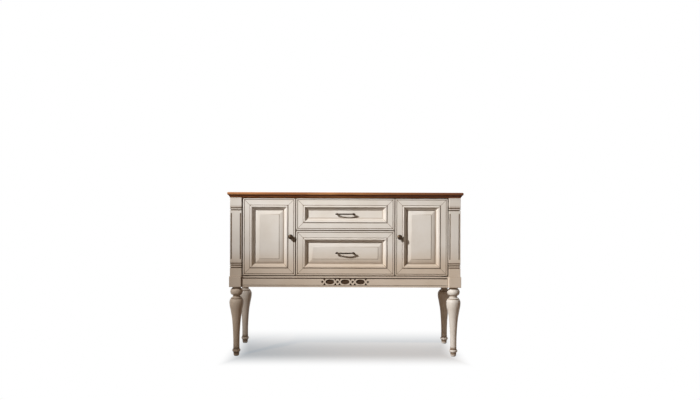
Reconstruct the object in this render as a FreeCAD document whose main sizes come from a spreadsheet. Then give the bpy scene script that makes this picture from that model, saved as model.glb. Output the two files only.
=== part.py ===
"""A painted chiffonier: a sideboard cupboard with two doors and two drawers on turned legs.

The frame has its origin on the floor under the middle of the top, +Z up, the front towards -Y and the
viewer's right towards +X. Sizes are millimetres and live in the sheet; every piece is bound to it.
"""
import FreeCAD, Part
import math
import os
import re
import Sketcher

# Driving sizes: each one can be set by itself.
SIZES = {
    # Top board and the moulded trim under it.
    "top_width": 1400, "top_depth": 440, "overall_height": 980, "top_thickness": 18,
    "nose_top_radius": 7, "nose_under_radius": 9,
    "trim_height": 13, "trim_width": 60, "trim_setback": 8, "trim_front_setback": 12, "trim_fillet": 2.5,
    "trim_foot": 1.5, "trim_cove_depth": 2,
    # Case: posts, panels and partitions.
    "side_overhang": 14, "front_overhang": 20, "back_overhang": 8,
    "post_width": 70.5, "leg_block": 78, "block_proud": 4, "block_height": 63.5, "block_chamfer": 8,
    "side_thickness": 18, "side_recess": 10, "side_border": 52, "side_bevel": 24, "side_rise": 5,
    "partition_thickness": 18, "back_thickness": 6, "back_recess": 2,
    "apron_height": 50.5, "apron_thickness": 20, "apron_setback": 10,
    "bottom_thickness": 16, "bottom_setback": 10, "rebate_height": 5, "rebate_depth": 8,
    # Pilaster carving on the front posts, measured down from the case top and up from the block.
    "flute_radius": 3.6, "flute_standoff": 0.2, "flute_inset": 9.3, "flute_top_drop": 97,
    "flute_foot_rise": 105, "ring_depth": 3.5, "ring_clear": 5, "line_ring": 3, "bold_ring": 5.5,
    "capital_upper_drop": 60.5, "capital_lower_drop": 74, "plinth_upper_rise": 81,
    "plinth_middle_rise": 67.5, "plinth_lower_rise": 53,
    # Pierced fret in the front apron, and the scratched line that runs below it.
    "fret_pitch": 90.5, "fret_drop": 18.5, "fret_web": 5, "fret_backing_thickness": 4, "fret_margin": 5,
    "oval_length": 51, "oval_height": 29.5, "oval_shoulder": 16, "oval_shoulder_rise": 11.3,
    "diamond_length": 17, "diamond_height": 17, "crossing_offset": 32.5, "arrow_width": 17.5,
    "arrow_height": 14, "arrow_reach": 20, "apron_line_rise": 10.5,
    # Turned legs: heights up from the floor, drops down from the underside of the square block.
    "glide_height": 3, "glide_radius": 13, "foot_radius": 16, "foot_flare": 18.5,
    "ring_low": 24, "ring_high": 42, "ring_radius": 24.2, "ankle_height": 60, "ankle_radius": 18.7,
    "shin_drop": 184, "shin_radius": 27.5, "shin_hollow": 2.5, "shoulder_low_drop": 134,
    "shoulder_low_radius": 36.4, "shoulder_drop": 94, "shoulder_radius": 42, "shoulder_top_drop": 73,
    "shoulder_top_radius": 35.5, "collar_drop": 71.5, "collar_radius": 32, "collar_top_drop": 66,
    "neck_drop": 55, "neck_radius": 22, "ball_low_drop": 46.5, "ball_drop": 30, "ball_top_drop": 13,
    "ball_radius": 37.2, "ball_end_radius": 31, "throat_drop": 11, "throat_radius": 26,
    "bolt_radius": 4, "bolt_rise": 15, "bolt_length": 95,
    # Doors and drawer fronts: a mitred moulded frame round a panel.
    "front_gap": 3, "post_gap": 4.5, "door_inset": 6, "front_thickness": 27, "carcass_clearance": 2,
    "drawer_width": 588, "lower_drawer_height": 267.5, "upper_drawer_height": 191, "frame_width": 72,
    "lip_width": 9, "line_width": 2.2, "line_depth": 1.7, "flat_end": 42.5, "bead_end": 52, "bead_rise": 3,
    "cove_drop": 15, "cove_sag": 2.2, "panel_set": 17, "tongue_thickness": 6, "groove_depth": 8,
    "tongue_clearance": 0.5, "panel_bevel": 25, "field_set": 10.5, "field_step": 1,
    # Pivot hinges, catches and knobs of the doors.
    "pivot_inset": 18, "pivot_set": 9, "pivot_radius": 3, "pivot_clearance": 0.05, "pivot_tip": 1.5,
    "leaf_length": 34, "leaf_offset": 13, "leaf_width": 12, "leaf_thickness": 2, "pivot_well": 2,
    "pivot_well_radius": 4.5, "catch_width": 40, "catch_depth": 14, "catch_height": 12, "catch_offset": 52,
    "strike_thickness": 1.5, "catch_gap": 0.3, "knob_inset": 27, "knob_projection": 25, "knob_radius": 15,
    "rose_radius": 10.5, "rose_height": 3, "knob_neck_radius": 5, "knob_neck_height": 9,
    "knob_rim_low": 13.5, "knob_rim_high": 20.5, "knob_rim_radius": 12.5, "knob_dome_radius": 8.5,
    "knob_dome_height": 23.4, "knob_tip_radius": 3,
    # Drawer boxes and their slides.
    "box_board": 12, "box_lift": 16, "upper_box_height": 130, "lower_box_height": 205, "box_back_gap": 50,
    "box_bottom_lift": 10, "box_bottom_thickness": 6, "slide_gap": 13, "rail_height": 40, "rail_sheet": 1.6,
    "rail_flange": 9, "rail_back_gap": 34, "rail_lift": 30, "rail_clearance": 0.3, "bar_thickness": 10.5,
    # Bow pulls on the drawers.
    "pull_half": 48, "pull_rise": 9, "pull_bar_radius": 4, "pull_foot_radius": 5.5, "pull_foot_height": 17,
    "finial_radius": 4.2, "finial_reach": 8, "finial_neck_radius": 2.4,
    # Loose shelves on pins: the shelf's height above the bottom board, the pins' distances from the posts.
    "shelf_thickness": 18, "shelf_height": 224, "shelf_clearance": 1.5, "shelf_pin_radius": 3,
    "shelf_pin_half": 9, "shelf_pin_front": 60, "shelf_pin_back": 60,
}

# Places and lengths that follow from the driving sizes.
PLACES = {
    "case_half": "top_width / 2 - side_overhang",
    "post_front": "-top_depth / 2 + front_overhang",
    "case_back": "top_depth / 2 - back_overhang",
    "top_under": "overall_height - top_thickness",
    "case_top": "top_under - trim_height",
    "front_high": "case_top - front_gap",
    "upper_low": "front_high - upper_drawer_height",
    "lower_high": "upper_low - front_gap",
    "front_low": "lower_high - lower_drawer_height",
    "bottom_top": "front_low - front_gap",
    "apron_top": "bottom_top - bottom_thickness",
    "leg_height": "apron_top - apron_height",
    "trim_half": "top_width / 2 - trim_setback",
    "trim_front": "-top_depth / 2 + trim_front_setback",
    "opening_half": "case_half - post_width",
    "block_outer": "case_half + block_proud",
    "block_inner": "block_outer - leg_block",
    "block_front": "post_front - block_proud",
    "block_rear": "block_front + leg_block",
    "back_block_front": "case_back - leg_block",
    "block_top": "leg_height + block_height",
    "leg_across": "block_outer - leg_block / 2",
    "leg_front": "block_front + leg_block / 2",
    "leg_back": "case_back - leg_block / 2",
    "apron_front": "block_front + apron_setback",
    "bottom_front": "post_front + bottom_setback",
    "notch_inner": "min(block_inner; opening_half)",
    "side_face": "case_half - side_recess",
    "side_inside": "side_face - side_thickness",
    "back_face": "case_back - back_recess",
    "back_inside": "back_face - back_thickness",
    "face_front": "post_front + door_inset",
    "face_back": "face_front + front_thickness",
    "carcass_front": "face_back + carcass_clearance",
    "drawer_half": "drawer_width / 2",
    "door_free": "drawer_half + front_gap",
    "door_edge": "opening_half - post_gap",
    "partition_middle": "drawer_half + front_gap / 2",
    "partition_inner": "partition_middle - partition_thickness / 2",
    "partition_outer": "partition_middle + partition_thickness / 2",
    "fret_middle": "apron_top - fret_drop",
    "fret_half": "fret_pitch * 3 / 2 + diamond_length / 2 + fret_margin",
    "fret_low": "fret_middle - arrow_reach - fret_margin",
    "pivot_across": "door_edge - pivot_inset",
    "pivot_depth": "face_front + pivot_set",
    "box_half": "partition_inner - slide_gap",
    "box_back": "back_inside - box_back_gap",
    "rail_back": "back_inside - rail_back_gap",
    "pull_bow_radius": "(pull_half ^ 2 + pull_rise ^ 2) / (2 * pull_rise)",
    "shelf_under": "bottom_top + shelf_height",
    "shelf_front": "block_rear + shelf_clearance",
    "shelf_back": "back_inside - shelf_clearance",
}

SIDES = ("left", "right")
DEPTHS = ("front", "back")
WORD = re.compile(r"[a-z]+(?:_[a-z]+)*")

doc = FreeCAD.newDocument("Chiffonier")
sheet = doc.addObject("Spreadsheet::Sheet", "Sizes")
nodes = {}


def fill_sheet():
    """One row for each size: its name, then its number or the formula it follows."""
    rows = [(alias, str(number)) for alias, number in SIZES.items()]
    rows += [(alias, f"={text}") for alias, text in PLACES.items()]
    for row, (alias, text) in enumerate(rows, 1):
        sheet.set(f"A{row}", alias)
        sheet.set(f"B{row}", text)
        sheet.setAlias(f"B{row}", alias)
    doc.recompute()


def formula(text):
    """A formula in the sheet's names, written so that any object can read it."""
    def qualified(match):
        word = match.group()
        return f"Sizes.{word}" if word in SIZES or word in PLACES else word
    return WORD.sub(qualified, str(text))


def bind(piece, name, text):
    """Tie one property of a piece to a formula of the sheet."""
    piece.setExpression(name, formula(text))


def place(piece, x, y, z):
    """Tie the place of a piece to three formulas."""
    for axis, text in zip("xyz", (x, y, z)):
        bind(piece, f"Placement.Base.{axis}", text)


def keep(label, piece):
    """Name a finished piece and list it for the parts folder."""
    piece.Label = label
    nodes[label] = piece
    return piece


def sided(side, low, high):
    """A span on the right-hand side, or its mirror image on the left."""
    return (low, high) if side == "right" else (f"-({high})", f"-({low})")


def across(side, x):
    """A distance out from the middle, on one side."""
    return x if side == "right" else f"-({x})"


def board(name, x, y, z):
    """A rectangular piece between pairs of low and high formulas."""
    piece = doc.addObject("Part::Box", name)
    for side, (low, high) in zip(("Length", "Width", "Height"), (x, y, z)):
        bind(piece, side, f"({high}) - ({low})")
    place(piece, x[0], y[0], z[0])
    return piece


def rod(name, radius, length, x, y, z, turn=None):
    """A round piece that starts at a place and runs along +Z, or along an axis that Z is turned to."""
    piece = doc.addObject("Part::Cylinder", name)
    bind(piece, "Radius", radius)
    bind(piece, "Height", length)
    if turn is not None:
        piece.Placement.Rotation = turn
    place(piece, x, y, z)
    return piece


def ball(name, radius, x, y, z):
    """A round ball about a place."""
    piece = doc.addObject("Part::Sphere", name)
    bind(piece, "Radius", radius)
    place(piece, x, y, z)
    return piece


ALONG_X = FreeCAD.Rotation(FreeCAD.Vector(0, 1, 0), 90)
TO_FRONT = FreeCAD.Rotation(FreeCAD.Vector(1, 0, 0), 90)


def joined(name, *pieces):
    """One solid made of pieces that overlap or touch."""
    piece = doc.addObject("Part::MultiFuse", name)
    piece.Shapes = list(pieces)
    return piece


def grouped(name, *pieces):
    """Separate solids that share one node."""
    piece = doc.addObject("Part::Compound", name)
    piece.Links = list(pieces)
    return piece


def cut(name, blank, *cutters):
    """A blank with the cutters' shapes taken out of it."""
    piece = doc.addObject("Part::Cut", name)
    piece.Base = blank
    piece.Tool = cutters[0] if len(cutters) == 1 else joined(f"{name}_cutters", *cutters)
    return piece


def new_body(name):
    """An empty body for sketched features."""
    return doc.addObject("PartDesign::Body", f"{name}_body")


def arc_through(start, middle, end):
    """The counter-clockwise arc through three points, and whether it runs from start to end."""
    circle = Part.Arc(start, middle, end).toShape().Curve
    centre = circle.Center
    turn = (middle - start).cross(end - middle).z
    first, last = (start, end) if turn > 0 else (end, start)
    angles = [math.atan2(point.y - centre.y, point.x - centre.x) for point in (first, last)]
    if angles[1] < angles[0]:
        angles[1] += 2 * math.pi
    ring = Part.Circle(centre, FreeCAD.Vector(0, 0, 1), circle.Radius)
    return Part.ArcOfCircle(ring, angles[0], angles[1]), turn > 0


def draw_outline(sketch, points):
    """A closed outline in a sketch, tied point by point to the sheet.

    A point is a pair of formulas for a corner, or a pair and the word "on" for the point that an arc passes
    through on its way from the corner before it to the corner after it.
    """
    def number(text):
        return float(sketch.evalExpression(formula(text)))

    def tie(geometry, end, point):
        for kind, text in zip(("DistanceX", "DistanceY"), point):
            row = sketch.addConstraint(Sketcher.Constraint(kind, -1, 1, geometry, end, number(text)))
            sketch.setExpression(f"Constraints[{row}]", formula(text))

    spots = [FreeCAD.Vector(number(point[0]), number(point[1]), 0) for point in points]
    corners = [index for index, point in enumerate(points) if len(point) == 2]
    runs = []
    for index, following in zip(corners, corners[1:] + corners[:1]):
        middle = (index + 1) % len(points)
        forward = True
        if middle == following:
            curve = Part.LineSegment(spots[index], spots[following])
        else:
            curve, forward = arc_through(spots[index], spots[middle], spots[following])
        geometry = sketch.addGeometry(curve, False)
        runs.append((geometry, 1 if forward else 2, 2 if forward else 1))
        if middle != following:
            dot = sketch.addGeometry(Part.Point(spots[middle]), True)
            tie(dot, 1, points[middle][:2])
            sketch.addConstraint(Sketcher.Constraint("PointOnObject", dot, 1, geometry))
    for run, after, index in zip(runs, runs[1:] + runs[:1], corners):
        sketch.addConstraint(Sketcher.Constraint("Coincident", run[0], run[2], after[0], after[1]))
        tie(run[0], run[1], points[index])


def add_sketch(body, plane, outlines, level="0"):
    """A sketch of closed outlines on one of a body's own planes, moved along the plane's normal."""
    sketch = body.newObject("Sketcher::SketchObject", f"{body.Name}_sketch")
    support = [item for item in body.Origin.OriginFeatures if item.Role == f"{plane}_Plane"]
    sketch.AttachmentSupport = [(support[0], "")]
    sketch.MapMode = "FlatFace"
    bind(sketch, "AttachmentOffset.Base.z", level)
    for points in outlines:
        draw_outline(sketch, points)
    return sketch


def pad(body, plane, outlines, length, level="0"):
    """A straight length of sketched outlines."""
    sketch = add_sketch(body, plane, outlines, level)
    feature = body.newObject("PartDesign::Pad", f"{body.Name}_pad")
    feature.Profile = sketch
    bind(feature, "Length", length)
    return feature


def spin(body, outline):
    """A turned solid: an outline of radius and height spun about the body's Z axis."""
    sketch = add_sketch(body, "XZ", [outline])
    feature = body.newObject("PartDesign::Revolution", f"{body.Name}_turning")
    feature.Profile = sketch
    feature.ReferenceAxis = (sketch, ["V_Axis"])
    feature.Angle = 360
    return feature


def saw(body, plane, outlines, reach):
    """Cut outlines right through a body, to both sides of a plane, and see that they took wood away."""
    doc.recompute()
    before = body.Shape.Volume
    sketch = add_sketch(body, plane, outlines, f"-({reach})")
    feature = body.newObject("PartDesign::Pocket", f"{body.Name}_saw")
    feature.Profile = sketch
    feature.Reversed = True
    bind(feature, "Length", f"2 * ({reach})")
    doc.recompute()
    if body.Shape.Volume >= before:
        raise RuntimeError(f"{body.Name}: the cut took nothing away")
    return feature


def size(alias):
    """The number that the sheet holds for a name."""
    return float(sheet.get(alias))


def make_top():
    """The top board with a bull-nosed edge at the front and the ends."""
    body = new_body("top_board")
    half, back = "top_width / 2", "top_depth / 2"
    corners = [(f"-{half}", f"-{back}"), (half, f"-{back}"), (half, back), (f"-{half}", back)]
    pad(body, "XY", [corners], "top_thickness", "top_under")
    rear = size("top_depth") / 2
    for alias, level in (("nose_top_radius", "overall_height"), ("nose_under_radius", "top_under")):
        doc.recompute()
        base = body.Tip
        names = []
        for index, edge in enumerate(base.Shape.Edges, 1):
            ends = [vertex.Point for vertex in edge.Vertexes]
            at_level = all(math.isclose(point.z, size(level)) for point in ends)
            at_back = all(math.isclose(point.y, rear) for point in ends)
            if at_level and not at_back:
                names.append(f"Edge{index}")
        feature = body.newObject("PartDesign::Fillet", f"{alias}_rounding")
        feature.Base = (base, names)
        bind(feature, "Radius", alias)
    keep("top_board", body)


def trim_section(out, face):
    """The trim's section: a fillet, a hollow and a foot, from the outer edge back to the trim's width.

    out turns a distance in from the trim's outer edge into a place; face is that distance at the posts.
    """
    hollow_top = "top_under - trim_fillet"
    hollow_foot = "case_top + trim_foot"
    inward = f"({face} - trim_foot) / 2 + trim_cove_depth"
    upward = f"({hollow_top} + {hollow_foot}) / 2 + trim_cove_depth"
    return [
        (out("0"), "top_under"), (out("0"), hollow_top),
        (out(inward), upward, "on"),
        (out(f"{face} - trim_foot"), hollow_foot), (out(f"{face} - trim_foot"), "case_top"),
        (out("trim_width"), "case_top"), (out("trim_width"), "top_under"),
    ]


def pivot_place(side):
    """The pivot axis of one door, seen from above."""
    return across(side, "pivot_across"), "pivot_depth"


def leaf(name, side, z):
    """A hinge leaf, a small plate that lies along the door's edge at the pivot."""
    low = "pivot_across + leaf_offset - leaf_length"
    x = sided(side, low, "pivot_across + leaf_offset")
    y = ("pivot_depth - leaf_width / 2", "pivot_depth + leaf_width / 2")
    return board(name, x, y, z)


def make_trim(plates):
    """Four lengths of trim under the top, mitred at the front corners and let in for the pivot plates."""
    front = new_body("front_trim")

    def from_front(distance):
        return f"trim_front + {distance}"

    section = trim_section(from_front, "post_front - trim_front")
    pad(front, "YZ", [section], "2 * trim_half", "-trim_half")
    rear = "trim_front + trim_width"
    mitres = []
    for side in SIDES:
        end = across(side, "trim_half")
        inner = across(side, "trim_half - trim_width")
        mitres.append([(end, "trim_front"), (inner, rear), (end, rear)])
    saw(front, "XY", mitres, "overall_height")
    depth = "leaf_thickness + pivot_well"
    wells = [rod(f"top_well_{side}", "pivot_well_radius", depth, *pivot_place(side), "case_top")
             for side in SIDES]
    keep("front_trim", cut("front_trim", front, *plates, *wells))

    lengths = []
    for side in SIDES:
        body = new_body(f"{side}_trim")

        def from_end(distance):
            return across(side, f"trim_half - ({distance})")

        section = trim_section(from_end, "trim_half - case_half")
        pad(body, "XZ", [section], "case_back - trim_front", "-case_back")
        end = across(side, "trim_half")
        inner = across(side, "trim_half - trim_width")
        saw(body, "XY", [[(end, "trim_front"), (inner, "trim_front"), (inner, rear)]], "overall_height")
        lengths.append(body)
    keep("side_trims", grouped("side_trims", *lengths))
    keep("back_trim", board("back_trim", ("-trim_half + trim_width", "trim_half - trim_width"),
                            ("case_back - trim_width", "case_back"), ("case_top", "top_under")))


def flute(name, x):
    """A stopped flute: a round-nosed cutter that runs up the post's face."""
    y = "post_front - flute_standoff"
    low, high = "block_top + flute_foot_rise", "case_top - flute_top_drop"
    shaft = rod(f"{name}_shaft", "flute_radius", f"{high} - ({low})", x, y, low)
    ends = [ball(f"{name}_end", "flute_radius", x, y, z) for z in (low, high)]
    return joined(name, shaft, *ends)


def groove_ring(name, side, z, width):
    """A square groove round the front and the two sides of a post."""
    span = (f"{z} - {width} / 2", f"{z} + {width} / 2")
    outer = board(f"{name}_outer", sided(side, "opening_half - ring_clear", "case_half + ring_clear"),
                  ("post_front - ring_clear", "block_rear + ring_clear"), span)
    core = board(f"{name}_core", sided(side, "opening_half + ring_depth", "case_half - ring_depth"),
                 ("post_front + ring_depth", "block_rear + 2 * ring_clear"), span)
    return cut(name, outer, core)


def make_posts(bolts):
    """Four corner posts on the leg blocks; the front pair is carved as fluted pilasters."""
    rings = (
        ("case_top - capital_upper_drop", "line_ring"), ("case_top - capital_lower_drop", "bold_ring"),
        ("block_top + plinth_upper_rise", "line_ring"), ("block_top + plinth_middle_rise", "bold_ring"),
        ("block_top + plinth_lower_rise", "bold_ring"),
    )
    for side in SIDES:
        x = sided(side, "opening_half", "case_half")
        blank = board(f"front_{side}_blank", x, ("post_front", "block_rear"), ("block_top", "case_top"))
        cutters = [flute(f"{side}_inner_flute", across(side, "opening_half + flute_inset")),
                   flute(f"{side}_outer_flute", across(side, "case_half - flute_inset"))]
        for index, (z, width) in enumerate(rings):
            cutters.append(groove_ring(f"{side}_ring_{index}", side, z, width))
        name = f"front_{side}_post"
        keep(name, cut(name, blank, *cutters, bolts[f"front_{side}"]))
        blank = board(f"back_{side}_blank", x, ("back_block_front", "case_back"), ("block_top", "case_top"))
        name = f"back_{side}_post"
        keep(name, cut(name, blank, bolts[f"back_{side}"]))


def make_side_panels(pins):
    """A fielded panel between the posts at each end, drilled for the shelf pins."""
    for side in SIDES:
        slab = board(f"{side}_side_slab", sided(side, "side_inside", "side_face"),
                     ("block_rear", "back_block_front"), ("bottom_top", "case_top"))
        field = doc.addObject("Part::Wedge", f"{side}_side_field")
        half = "(back_block_front - block_rear) / 2 - side_border"
        bind(field, "Xmin", f"-({half})")
        bind(field, "Xmax", half)
        bind(field, "X2min", f"-({half} - side_bevel)")
        bind(field, "X2max", f"{half} - side_bevel")
        bind(field, "Ymin", "0")
        bind(field, "Ymax", "side_rise")
        bind(field, "Zmin", "bottom_top + side_border")
        bind(field, "Zmax", "case_top - side_border")
        bind(field, "Z2min", "bottom_top + side_border + side_bevel")
        bind(field, "Z2max", "case_top - side_border - side_bevel")
        quarter = -90 if side == "right" else 90
        field.Placement.Rotation = FreeCAD.Rotation(FreeCAD.Vector(0, 0, 1), quarter)
        place(field, across(side, "side_face"), "(back_block_front + block_rear) / 2", "0")
        solid = joined(f"{side}_side_solid", slab, field)
        name = f"{side}_side_panel"
        keep(name, cut(name, solid, *pins[side]["outer"]))


def make_partitions(pins):
    """Two upright boards between the cupboards and the drawers."""
    boards = []
    for side in SIDES:
        blank = board(f"{side}_partition_blank", sided(side, "partition_inner", "partition_outer"),
                      ("carcass_front", "back_inside"), ("bottom_top", "case_top"))
        boards.append(cut(f"{side}_partition", blank, *pins[side]["inner"]))
    keep("partitions", grouped("partitions", *boards))


def make_bottom_and_back(plates):
    """The bottom board, notched round the leg blocks and rebated below its front edge, and the back."""
    body = new_body("bottom_panel")
    half = [("notch_inner", "bottom_front"), ("notch_inner", "block_rear"), ("side_face", "block_rear"),
            ("side_face", "back_block_front"), ("notch_inner", "back_block_front"),
            ("notch_inner", "back_face")]
    mirrored = [(f"-{x}", y) for x, y in reversed(half)]
    pad(body, "XY", [half + mirrored], "bottom_thickness", "apron_top")
    rebate = board("front_rebate", ("-notch_inner", "notch_inner"),
                   ("bottom_front", "bottom_front + rebate_depth"),
                   ("apron_top", "apron_top + rebate_height"))
    depth = "leaf_thickness + pivot_well"
    floor = f"bottom_top - ({depth})"
    wells = [rod(f"bottom_well_{side}", "pivot_well_radius", depth, *pivot_place(side), floor)
             for side in SIDES]
    keep("bottom_panel", cut("bottom_panel", body, rebate, *plates, *wells))
    keep("back_panel", board("back_panel", ("-opening_half", "opening_half"), ("back_inside", "back_face"),
                             ("bottom_top", "case_top")))


def fret_outlines():
    """Outlines of the pierced fret: ovals, diamonds between them and arrows over each crossing."""
    outlines = []
    middle = "fret_middle"
    for step in (-1, 0, 1):
        x = f"fret_pitch * {step}"
        left, right = f"{x} - oval_shoulder", f"{x} + oval_shoulder"
        low, high = f"{middle} - oval_shoulder_rise", f"{middle} + oval_shoulder_rise"
        outlines.append([
            (left, low), (x, f"{middle} - oval_height / 2", "on"),
            (right, low), (f"{x} + oval_length / 2", middle, "on"),
            (right, high), (x, f"{middle} + oval_height / 2", "on"),
            (left, high), (f"{x} - oval_length / 2", middle, "on"),
        ])
        for way in ("-", "+"):
            crossing = f"{x} {way} crossing_offset"
            for rise in ("-", "+"):
                base = f"{middle} {rise} arrow_reach"
                tip = f"{middle} {rise} (arrow_reach - arrow_height)"
                outlines.append([(f"{crossing} - arrow_width / 2", base),
                                 (f"{crossing} + arrow_width / 2", base), (crossing, tip)])
    for step in (-3, -1, 1, 3):
        x = f"fret_pitch * {step} / 2"
        outlines.append([(f"{x} - diamond_length / 2", middle), (x, f"{middle} - diamond_height / 2"),
                         (f"{x} + diamond_length / 2", middle), (x, f"{middle} + diamond_height / 2")])
    return outlines


def make_aprons():
    """Aprons between the leg blocks; the front one is pierced by a fret with a brown board behind it."""
    span = ("-block_inner", "block_inner")
    height = ("leg_height", "apron_top")
    blank = board("front_apron_blank", span, ("apron_front", "apron_front + apron_thickness"), height)
    web = "apron_front + fret_web"
    recess_x, recess_z = ("-fret_half", "fret_half"), ("fret_low", "apron_top")
    recess = board("fret_recess", recess_x, (web, "apron_front + apron_thickness"), recess_z)
    piercing = new_body("fret_piercing")
    pad(piercing, "XZ", fret_outlines(), "2 * fret_web", f"-({web})")
    line_foot = "leg_height + apron_line_rise"
    line = board("apron_line", span, ("apron_front", "apron_front + line_depth"),
                 (line_foot, f"{line_foot} + line_width"))
    keep("front_apron", cut("front_apron", blank, recess, piercing, line))
    keep("fret_backing", board("fret_backing", recess_x, (web, f"{web} + fret_backing_thickness"), recess_z))
    for side in SIDES:
        outer = "block_outer - apron_setback"
        keep(f"{side}_apron", board(f"{side}_apron", sided(side, f"{outer} - apron_thickness", outer),
                                    ("block_rear", "back_block_front"), height))
    keep("back_apron", board("back_apron", span, ("back_face - apron_thickness", "back_face"), height))


def leg_outline():
    """The turned leg's outline in radius and height, from the foot up to the square block."""
    def down(drop):
        return f"leg_height - {drop}"

    ring_middle = "(ring_low + ring_high) / 2"
    return [
        ("0", "glide_height"), ("foot_radius", "glide_height"), ("foot_flare", "ring_low"),
        ("ring_radius", ring_middle, "on"), ("ankle_radius", "ring_high"), ("ankle_radius", "ankle_height"),
        ("(ankle_radius + shin_radius) / 2 - shin_hollow", f"(ankle_height + {down('shin_drop')}) / 2", "on"),
        ("shin_radius", down("shin_drop")), ("shoulder_low_radius", down("shoulder_low_drop")),
        ("shoulder_radius * 3 / 4 + shoulder_low_radius / 4",
         down("(shoulder_drop + shoulder_low_drop) / 2"), "on"),
        ("shoulder_radius", down("shoulder_drop")),
        ("shoulder_radius * 3 / 4 + shoulder_top_radius / 4",
         down("(shoulder_drop + shoulder_top_drop) / 2"), "on"),
        ("shoulder_top_radius", down("shoulder_top_drop")), ("collar_radius", down("collar_drop")),
        ("collar_radius", down("collar_top_drop")), ("neck_radius", down("neck_drop"), "on"),
        ("ball_end_radius", down("ball_low_drop")), ("ball_radius", down("ball_drop"), "on"),
        ("ball_end_radius", down("ball_top_drop")), ("throat_radius", down("throat_drop")),
        ("throat_radius", "leg_height"), ("0", "leg_height"),
    ]


def block_outline(depth, side):
    """The square block's outline; a front block has a chamfer down its corner beside the apron."""
    half = "leg_block / 2"
    corners = [(f"-{half}", f"-{half}"), (half, f"-{half}"), (half, half), (f"-{half}", half)]
    if depth == "back":
        return corners
    if side == "left":
        corners[1:2] = [(f"{half} - block_chamfer", f"-{half}"), (half, f"-{half} + block_chamfer")]
    else:
        corners[:1] = [(f"-{half}", f"-{half} + block_chamfer"), (f"-{half} + block_chamfer", f"-{half}")]
    return corners


def make_legs(bolts):
    """Four turned legs under square blocks, with a glide under each foot and a bolt into each post."""
    glides = []
    for depth in DEPTHS:
        for side in SIDES:
            x, y = across(side, "leg_across"), f"leg_{depth}"
            body = new_body(f"{depth}_{side}_leg")
            spin(body, leg_outline())
            pad(body, "XY", [block_outline(depth, side)], "block_height", "leg_height")
            place(body, x, y, "0")
            name = f"{depth}_{side}_leg"
            keep(name, cut(name, body, bolts[f"{depth}_{side}"]))
            glides.append(rod(f"{depth}_{side}_glide", "glide_radius", "glide_height", x, y, "0"))
    keep("foot_glides", grouped("foot_glides", *glides))


def make_bolts():
    """A bolt from each leg block up into its post."""
    bolts = {}
    for depth in DEPTHS:
        for side in SIDES:
            x, y = across(side, "leg_across"), f"leg_{depth}"
            name = f"{depth}_{side}"
            bolts[name] = rod(f"{name}_bolt", "bolt_radius", "bolt_length", x, y, "leg_height + bolt_rise")
    keep("leg_bolts", grouped("leg_bolts", *bolts.values()))
    return bolts


def make_shelves():
    """A loose shelf in each cupboard, notched round the back post, and the pins that it lies on."""
    pins = {}
    every = []
    shelves = []
    for side in SIDES:
        body = new_body(f"{side}_shelf")
        inner, outer = "partition_outer + shelf_clearance", "side_inside - shelf_clearance"
        notch_x, notch_y = "opening_half - shelf_clearance", "back_block_front - shelf_clearance"
        outline = [(inner, "shelf_front"), (outer, "shelf_front"), (outer, notch_y), (notch_x, notch_y),
                   (notch_x, "shelf_back"), (inner, "shelf_back")]
        pad(body, "XY", [[(across(side, x), y) for x, y in outline]], "shelf_thickness", "shelf_under")
        shelves.append(body)
        pins[side] = {}
        for wall, face in (("inner", "partition_outer"), ("outer", "side_inside")):
            pins[side][wall] = []
            low = sided(side, f"{face} - shelf_pin_half", f"{face} + shelf_pin_half")[0]
            for y in ("block_rear + shelf_pin_front", "back_block_front - shelf_pin_back"):
                pin = rod(f"{side}_{wall}_pin", "shelf_pin_radius", "2 * shelf_pin_half", low, y,
                          "shelf_under - shelf_pin_radius", ALONG_X)
                pins[side][wall].append(pin)
            every += pins[side][wall]
    keep("shelves", grouped("shelves", *shelves))
    keep("shelf_pins", grouped("shelf_pins", *every))
    return pins


def make_pivot_plates():
    """The case's half of each pivot hinge: a plate with a hole, let in flush above and below each door."""
    blanks = {}
    plates = []
    for level, span in (("top", ("case_top", "case_top + leaf_thickness")),
                        ("bottom", ("bottom_top - leaf_thickness", "bottom_top"))):
        blanks[level] = []
        for side in SIDES:
            blank = leaf(f"{level}_{side}_plate_blank", side, span)
            hole = rod(f"{level}_{side}_plate_hole", "pivot_radius + pivot_clearance", "leaf_thickness",
                       *pivot_place(side), span[0])
            blanks[level].append(blank)
            plates.append(cut(f"{level}_{side}_plate", blank, hole))
    keep("pivot_plates", grouped("pivot_plates", *plates))
    return blanks


def frame_section(u_place, v_place):
    """The moulded section of a frame member.

    It runs in from the outer edge: a lip, a scratched line, a flat, a quirk, a bead and a cove, then the
    groove that holds the panel. u_place and v_place turn distances across the member and behind its face
    into a place, and the result keeps their order.
    """
    line_one, line_two = "lip_width", "flat_end"
    bead_start = f"{line_two} + line_width"
    groove_floor = "frame_width - groove_depth"
    groove_back = "panel_set + tongue_thickness"
    profile = [
        ("0", "0"), (line_one, "0"), (f"{line_one} + line_width / 2", "line_depth"),
        (f"{line_one} + line_width", "0"), (line_two, "0"), (f"{line_two} + line_width / 2", "line_depth"),
        (bead_start, "0"), (f"({bead_start} + bead_end) / 2", "-bead_rise", "on"), ("bead_end", "0"),
        ("(bead_end + frame_width) / 2 - cove_sag / 2", "cove_drop / 2 + cove_sag", "on"),
        ("frame_width", "cove_drop"), ("frame_width", "panel_set"), (groove_floor, "panel_set"),
        (groove_floor, groove_back), ("frame_width", groove_back), ("frame_width", "front_thickness"),
        ("0", "front_thickness"),
    ]
    return [(u_place(point[0]), v_place(point[1])) + point[2:] for point in profile]


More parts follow.
